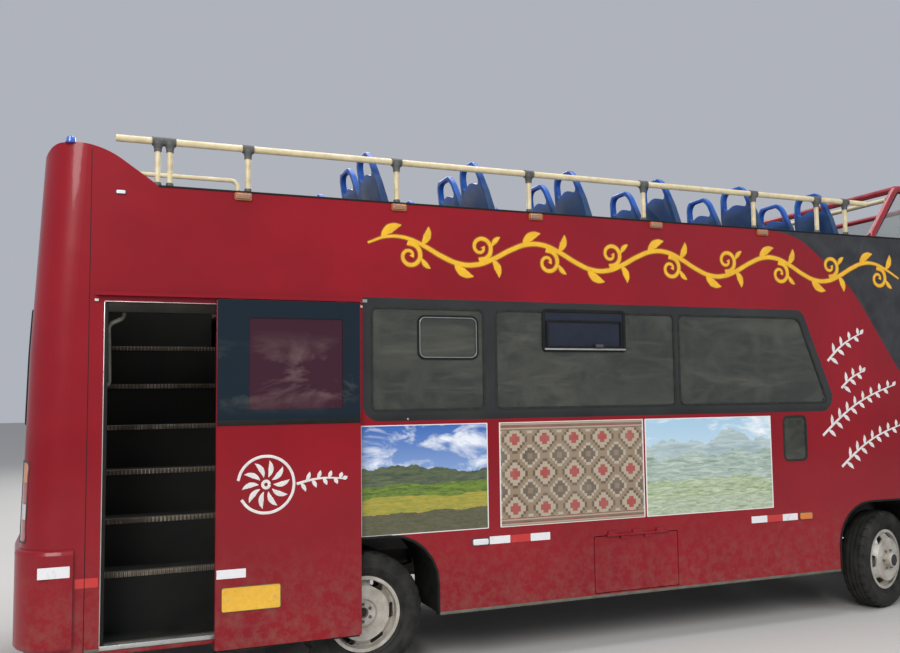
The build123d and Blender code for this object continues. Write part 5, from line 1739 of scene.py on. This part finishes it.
frontEnd = {
    "wiperFeet": (0.62, -0.10),  # across the bus
    "wiperHeight": 1.262,  # from behind the screen's lower edge
    "armLength": 0.60,
    "bladeLength": 0.66,
    "armTilt": 12.0,  # degrees off level
    "armPath": ((0.12, 0.030), (0.5, 0.026), (1.0, 0.026)),  # share of the length, gap to the glass
    "bladeGap": (0.017, 0.006),  # of the blade, of its rubber
    "wiperTubes": (0.006, 0.0052, 0.0035),  # radius of the arm, the blade and its rubber
    "bladeShift": (0.10, 0.012),  # across and up from the arm's end
    "spindle": [
        (0, 0.034), (0.012, 0.034), (0.016, 0.028), (0.019, 0.004),
        (0.024, 0.0), (0.024, -0.012), (0, -0.012),
    ],
    "mirrorInset": 0.016,
    "mirrorFace": ((1.180, 1.345), (1.560, 1.900)),  # across and up
    "mirrorBack": 3.670,
    "lampHeight": 0.820,
    "lamps": [(0.900, 3.905, 0.062), (0.745, 3.934, 0.055)],  # across, forward, radius
}


def reachOf(node, y, z, side=1):
    # how far out a node reaches along X at this spot, from its own mesh; side -1 looks from behind
    hit, place = cadNodes[node].ray_cast(Vector((5.0 * side, y, z)), Vector((-side, 0, 0)))[:2]
    return place.x if hit else None
def addWipers():
    made = []
    tilt, z = math.radians(frontEnd["armTilt"]), frontEnd["wiperHeight"]
    length, half = frontEnd["armLength"], frontEnd["bladeLength"] / 2
    armTube, bladeTube, rubberTube = frontEnd["wiperTubes"]
    (bladeGap, rubberGap), (aside, above) = frontEnd["bladeGap"], frontEnd["bladeShift"]
    for foot in frontEnd["wiperFeet"]:
        x = reachOf("front_shell", foot, z - 0.02) or 3.98
        points = [(x + 0.024, foot, z - 0.004)]
        for share, gap in frontEnd["armPath"]:
            y = foot - length * share * math.cos(tilt)
            high = z + 0.03 + length * share * math.sin(tilt)
            points.append(((reachOf("windscreen", y, high) or x) + gap, y, high))
        made.append(tubeAlong("wiperArm", points, armTube))
        spindle = turnedPiece("wiperSpindle", frontEnd["spindle"], (0, 0, 0), 24)
        spindle.data.transform(Matrix.Translation((x, foot, z)) @ Matrix.Rotation(-math.pi / 2, 4, "Z"))
        made.append(spindle)
        middle, high = points[-1][1:]
        blade, rubber = [], []
        for step in range(7):
            share = step / 3 - 1
            y = middle - half * share * math.cos(tilt) + aside
            level = high + half * share * math.sin(tilt) + above
            face = reachOf("windscreen", y, level) or points[-1][0] - gap
            blade.append((face + bladeGap, y, level))
            rubber.append((face + rubberGap, y, level))
        made.append(tubeAlong("wiperBlade", blade, bladeTube))
        made.append(tubeAlong("wiperRubber", rubber, rubberTube))
    finishPiece(joinPieces(made, "windscreenWipers"), darkPlastic, "dash_plastic")


def addMirrorFaces():
    silver, tree, shader = newFinish("mirrorSilver", metallic=1.0)
    wire(tree, spread(tree, noiseOf(tree, objectPlace(tree), 6, 4), 0.3, 0.7, 0.02, 0.09),
         shader, "Roughness")
    shade = mixOf(tree, noiseOf(tree, objectPlace(tree), 3, 2), (0.78, 0.80, 0.82), (0.86, 0.87, 0.88))
    wire(tree, shade, shader, "Base Color")
    inset = frontEnd["mirrorInset"]
    across, up = (shrunk(span, inset) for span in frontEnd["mirrorFace"])
    for side, word in ((-1, "Right"), (1, "Left")):
        plate = roundedPlate("mirror" + word, across, (-0.0025, 0.001), up, 0.034, bevel=0.001)
        # X and Y change places, so that the plate looks back
        swap = Matrix(((0, 1, 0, frontEnd["mirrorBack"]), (side, 0, 0, 0), (0, 0, 1, 0), (0, 0, 0, 1)))
        plate.data.transform(swap)
        makeActive(plate)
        bpy.ops.object.mode_set(mode="EDIT")
        bpy.ops.mesh.select_all(action="SELECT")
        bpy.ops.mesh.normals_make_consistent(inside=False)
        endEdit()
        finishPiece(settle(plate), silver, "clear_glass")


def addHeadlampUnits():
    # bowls with a rim and a bulb, behind the clear cover
    bowl = plainFinish("lampBowl", (0.80, 0.80, 0.80), (0.70, 0.70, 0.72), 12, (0.08, 0.2), metallic=1.0)
    cover, tree, shader = newFinish("headlampCover", alpha=0.30, coatWeight=0.8, coatRoughness=0.02)
    place = objectPlace(tree)
    wire(tree, mixOf(tree, noiseOf(tree, place, 4, 4), (0.55, 0.58, 0.60), (0.68, 0.69, 0.70)),
         shader, "Base Color")
    wire(tree, spread(tree, noiseOf(tree, place, 9, 4), 0.3, 0.7, 0.03, 0.12), shader, "Roughness")
    finishNode("headlamps", cover)
    bowlShape = [  # share of the radius, how far forward
        (0, -0.052), (0.35, -0.050), (0.7, -0.036), (0.93, -0.010), (0.97, 0.0), (1.04, 0.003), (1.10, 0.0),
        (1.10, -0.010), (1, -0.014), (0.76, -0.041), (0, -0.057),
    ]
    bulbShape = [(0, -0.012), (0.008, -0.014), (0.011, -0.022), (0.011, -0.045), (0.016, -0.048), (0, -0.051)]
    units, bulbs = [], []
    for side in (-1, 1):
        for y, reach, radius in frontEnd["lamps"]:
            profile = [(radius * share, offset) for share, offset in bowlShape]
            unit = turnedPiece("lampBowl", profile, (0, 0, 0), 40)
            bulb = turnedPiece("lampBulb", bulbShape, (0, 0, 0), 20)
            middle = Matrix.Translation((reach, side * y, frontEnd["lampHeight"]))
            for piece, group in ((unit, units), (bulb, bulbs)):
                piece.data.transform(middle @ Matrix.Rotation(-math.pi / 2, 4, "Z"))
                group.append(piece)
    finishPiece(joinPieces(units, "headlampBowls"), bowl, "lamp_lens")
    finishPiece(joinPieces(bulbs, "headlampBulbs"), finishes["lamp_lens"], "lamp_lens")


grille = {
    "half": 0.350,
    "wire": 0.0016,
    "uprights": 29,
    "levels": 14,
    "rim": 0.012,
}


def addGrille():
    low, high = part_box("front_flap")
    y, wire, rim = (-grille["half"], grille["half"]), grille["wire"], grille["rim"]
    bars = []
    x, z = (low.x + 0.010, low.x + 0.013), (low.z + 0.075, high.z - 0.110)
    for step in range(grille["uprights"]):
        across = y[0] + (y[1] - y[0]) * step / (grille["uprights"] - 1)
        bars.append(spanBox("grilleWire", x, (across - wire, across + wire), z))
    x = (low.x + 0.0128, low.x + 0.0158)
    for step in range(grille["levels"]):
        level = low.z + 0.080 + (high.z - low.z - 0.195) * step / (grille["levels"] - 1)
        bars.append(spanBox("grilleWire", x, y, (level - wire, level + wire)))
    x, foot, head = (low.x + 0.006, low.x + 0.018), low.z + 0.066, high.z - 0.101
    for z in ((foot, foot + rim), (head - rim, head)):
        bars.append(spanBox("grilleFrame", x, shrunk(y, -0.010), z, 0.002))
    for across in ((y[0] - rim, y[0]), (y[1], y[1] + rim)):
        bars.append(spanBox("grilleFrame", x, across, (foot, head), 0.002))
    finishPiece(settle(joinPieces(bars, "grilleMesh")), darkPlastic, "dash_plastic", "front_flap")


# Rear end: lamps in sections, window rubber

rearEnd = {
    "lampAcross": (0.900, 1.030),
    "lampHeight": (0.960, 1.400),
    "bezel": 0.008,
    "bezelSteps": 6,  # to a side
}
endWindows = {
    # node: piece, seen from, half width at the foot and the head, lowest, highest, corner, rubber's radius
    "windscreen": ("windscreenRubber", 1, 1.034, 0.990, 1.284, 2.296, 0.104, 0.011),
    "rear_window": ("rearWindowRubber", -1, 0.886, 0.846, 1.614, 2.286, 0.092, 0.009),
}
screenBands = {
    "across": 1.1125,
    "shift": (-0.004, -0.022),
    "radius": 0.015,
    "rows": [  # each through three points, as forward and up
        [(2.372, 3.020), (2.520, 3.225), (2.668, 3.432)],
        [(2.690, 3.438), (3.040, 3.425), (3.380, 3.412)],
        [(3.398, 3.398), (3.490, 3.215), (3.578, 3.030)],
        [(2.372, 3.024), (2.970, 3.024), (3.578, 3.024)],
    ],
}


def rearLampFinish():
    # one lens in bands: amber at the top, red, clear, red
    material, tree, shader = newFinish("rearLampLens", coatWeight=1.0, coatRoughness=0.03, roughness=0.22)
    axes = axesOf(tree, objectPlace(tree))
    bands = rampOf(
        tree, spread(tree, axes[2], *rearEnd["lampHeight"]),
        (0.0, (0.34, 0.006, 0.008)), (0.26, (0.01, 0.008, 0.008)), (0.275, (0.62, 0.62, 0.60)),
        (0.47, (0.01, 0.008, 0.008)), (0.485, (0.42, 0.008, 0.010)), (0.73, (0.01, 0.008, 0.008)),
        (0.745, (0.72, 0.20, 0.015)),
    )
    bands.node.color_ramp.interpolation = "CONSTANT"
    cells = times(tree, ribsOf(tree, axes[1], 480), ribsOf(tree, axes[2], 480))
    wire(tree, mixOf(tree, spread(tree, cells, -1, 1, 0.0, 0.22), bands, (0.8, 0.7, 0.66)),
         shader, "Base Color")
    bumpOf(tree, shader, cells, 0.35, 0.001)
    return material


def addRearLamps():
    finishNode("rear_lamps", rearLampFinish())
    edge = rearEnd["bezel"]
    y, z = (shrunk(rearEnd[key], -edge / 2) for key in ("lampAcross", "lampHeight"))
    corners = [(y[0], z[0]), (y[1], z[0]), (y[1], z[1]), (y[0], z[1]), (y[0], z[0])]
    spots = corners[:1]
    for start, end in zip(corners, corners[1:]):
        for step in range(1, rearEnd["bezelSteps"] + 1):
            share = step / rearEnd["bezelSteps"]
            spots.append(tuple(a + (b - a) * share for a, b in zip(start, end)))
    made = []
    for side in (-1, 1):
        # a frame round the lens that follows the curved corner of the shell
        ring = []
        for across, level in spots:
            reach = reachOf("rear_shell", side * across, level, -1)
            if reach is None or reach >= -3.8:
                reach = reachOf("rear_lamps", side * across, level, -1) or -3.95
            ring.append((reach - 0.001, side * across, level))
        made.append(tubeAlong("rearLampBezel", ring, edge / 2, 3))
    finishPiece(joinPieces(made, "rearLampBezels"), darkPlastic, "dash_plastic")


def addEndRubber(node):
    # a rubber that follows a curved window's edge
    name, side, footHalf, headHalf, low, high, radius, width = endWindows[node]
    corners = [(-footHalf, low), (footHalf, low), (headHalf, high), (-headHalf, high)]
    corners = [Vector(corner) for corner in corners]
    points = []
    for number, here in enumerate(corners):
        before, after = corners[number - 1], corners[(number + 1) % 4]
        toAfter = (after - here).normalized()
        start, end = here + (before - here).normalized() * radius, here + toAfter * radius
        for share in (0.0, 0.25, 0.5, 0.75, 1.0):
            # a round corner as a blend of the two tangent points and the corner
            points.append(start * (1 - share) ** 2 + here * 2 * share * (1 - share) + end * share ** 2)
        nextStart = after - toAfter * radius
        points += [end.lerp(nextStart, share) for share in (0.2, 0.4, 0.6, 0.8)]
    path = []
    for across, level in points:
        shell = "front_shell" if side > 0 else "rear_shell"
        reaches = [(reachOf(target, across, level, side) or 0) * side for target in (shell, node)]
        if max(reaches) > 3.3:
            path.append(((max(reaches) + 0.001) * side, across, level))
    finishPiece(tubeAlong(name, path + path[:1], width, 2), blackRubber, "black_trim")


def addScreenFrames():
    # black bands where the screen glass meets the hoop's tubes
    shiftX, shiftZ = screenBands["shift"]
    made = []
    for side in (-1, 1):
        for row in screenBands["rows"]:
            points = [(x + shiftX, side * screenBands["across"], z + shiftZ) for x, z in row]
            made.append(tubeAlong("screenBand", points, screenBands["radius"], 2))
    finishPiece(joinPieces(made, "hoopScreenBands"), blackRubber, "black_trim")


addScreenFrames()
addWipers()
addMirrorFaces()
addHeadlampUnits()
addGrille()
addRearLamps()
for windowNode in endWindows:
    addEndRubber(windowNode)
print("front and rear ends")


# Small fittings: blue lamps on the fins, a marker lamp by the doorway, a screw and a tag

fittings = {
    "finLamp": (-3.755, 1.125, 3.236),
    "finLampShape": [  # radius, height
        (0, -0.004), (0.0312, -0.004), (0.0312, 0.0), (0.026, 0.002), (0.026, 0.014), (0.02236, 0.028),
        (0.013, 0.0348), (0, 0.036),
    ],
    "doorLamp": (-3.480, 2.958),
    "tag": ((-2.038, -1.991), (2.350, 2.369)),
    "screw": (-1.721, 1.602),
    "screwShape": [(0, -0.003), (0.004, -0.0028), (0.0065, -0.0012), (0.007, 0), (0, 0)],
}


def addFittings():
    x, y, z = fittings["finLamp"]
    blueLens = lensFinish("blueLens", (0.02, 0.09, 0.42), (0.04, 0.16, 0.60))
    for side, word in ((-1, "Right"), (1, "Left")):
        lamp = turnedPiece("finLamp" + word, fittings["finLampShape"], (0, 0, 0), 28)
        lamp.data.transform(Matrix.Translation((x, side * y, z)) @ Matrix.Rotation(math.pi / 2, 4, "X"))
        finishPiece(lamp, blueLens, "lamp_lens")
    x, z = ((middle, middle) for middle in fittings["doorLamp"])
    base = roundedPlate(
        "cornerMarkerBase", shrunk(x, -0.030), wallDepth(0.004), shrunk(z, -0.014), 0.010, bevel=0.001
    )
    lens = roundedPlate(
        "cornerMarker", shrunk(x, -0.025), wallDepth(0.013, -0.003), shrunk(z, -0.010), 0.008, bevel=0.003
    )
    finishPair(settle(base), "cornerMarkerBaseLeft", darkPlastic, "dash_plastic")
    finishPair(settle(lens), "cornerMarkerLeft", finishes["lamp_lens"], "lamp_lens")
    x, z = fittings["screw"]
    screw = turnedPiece("bandScrew", fittings["screwShape"], (x, sideY, z), 20)
    finishPiece(screw, paleMetal, "track_metal")
    x, z = fittings["tag"]
    finishPiece(settle(spanBox("trackTag", x, wallDepth(0.004), z, 0.001)), paleMetal, "track_metal")


addFittings()
print("fittings")
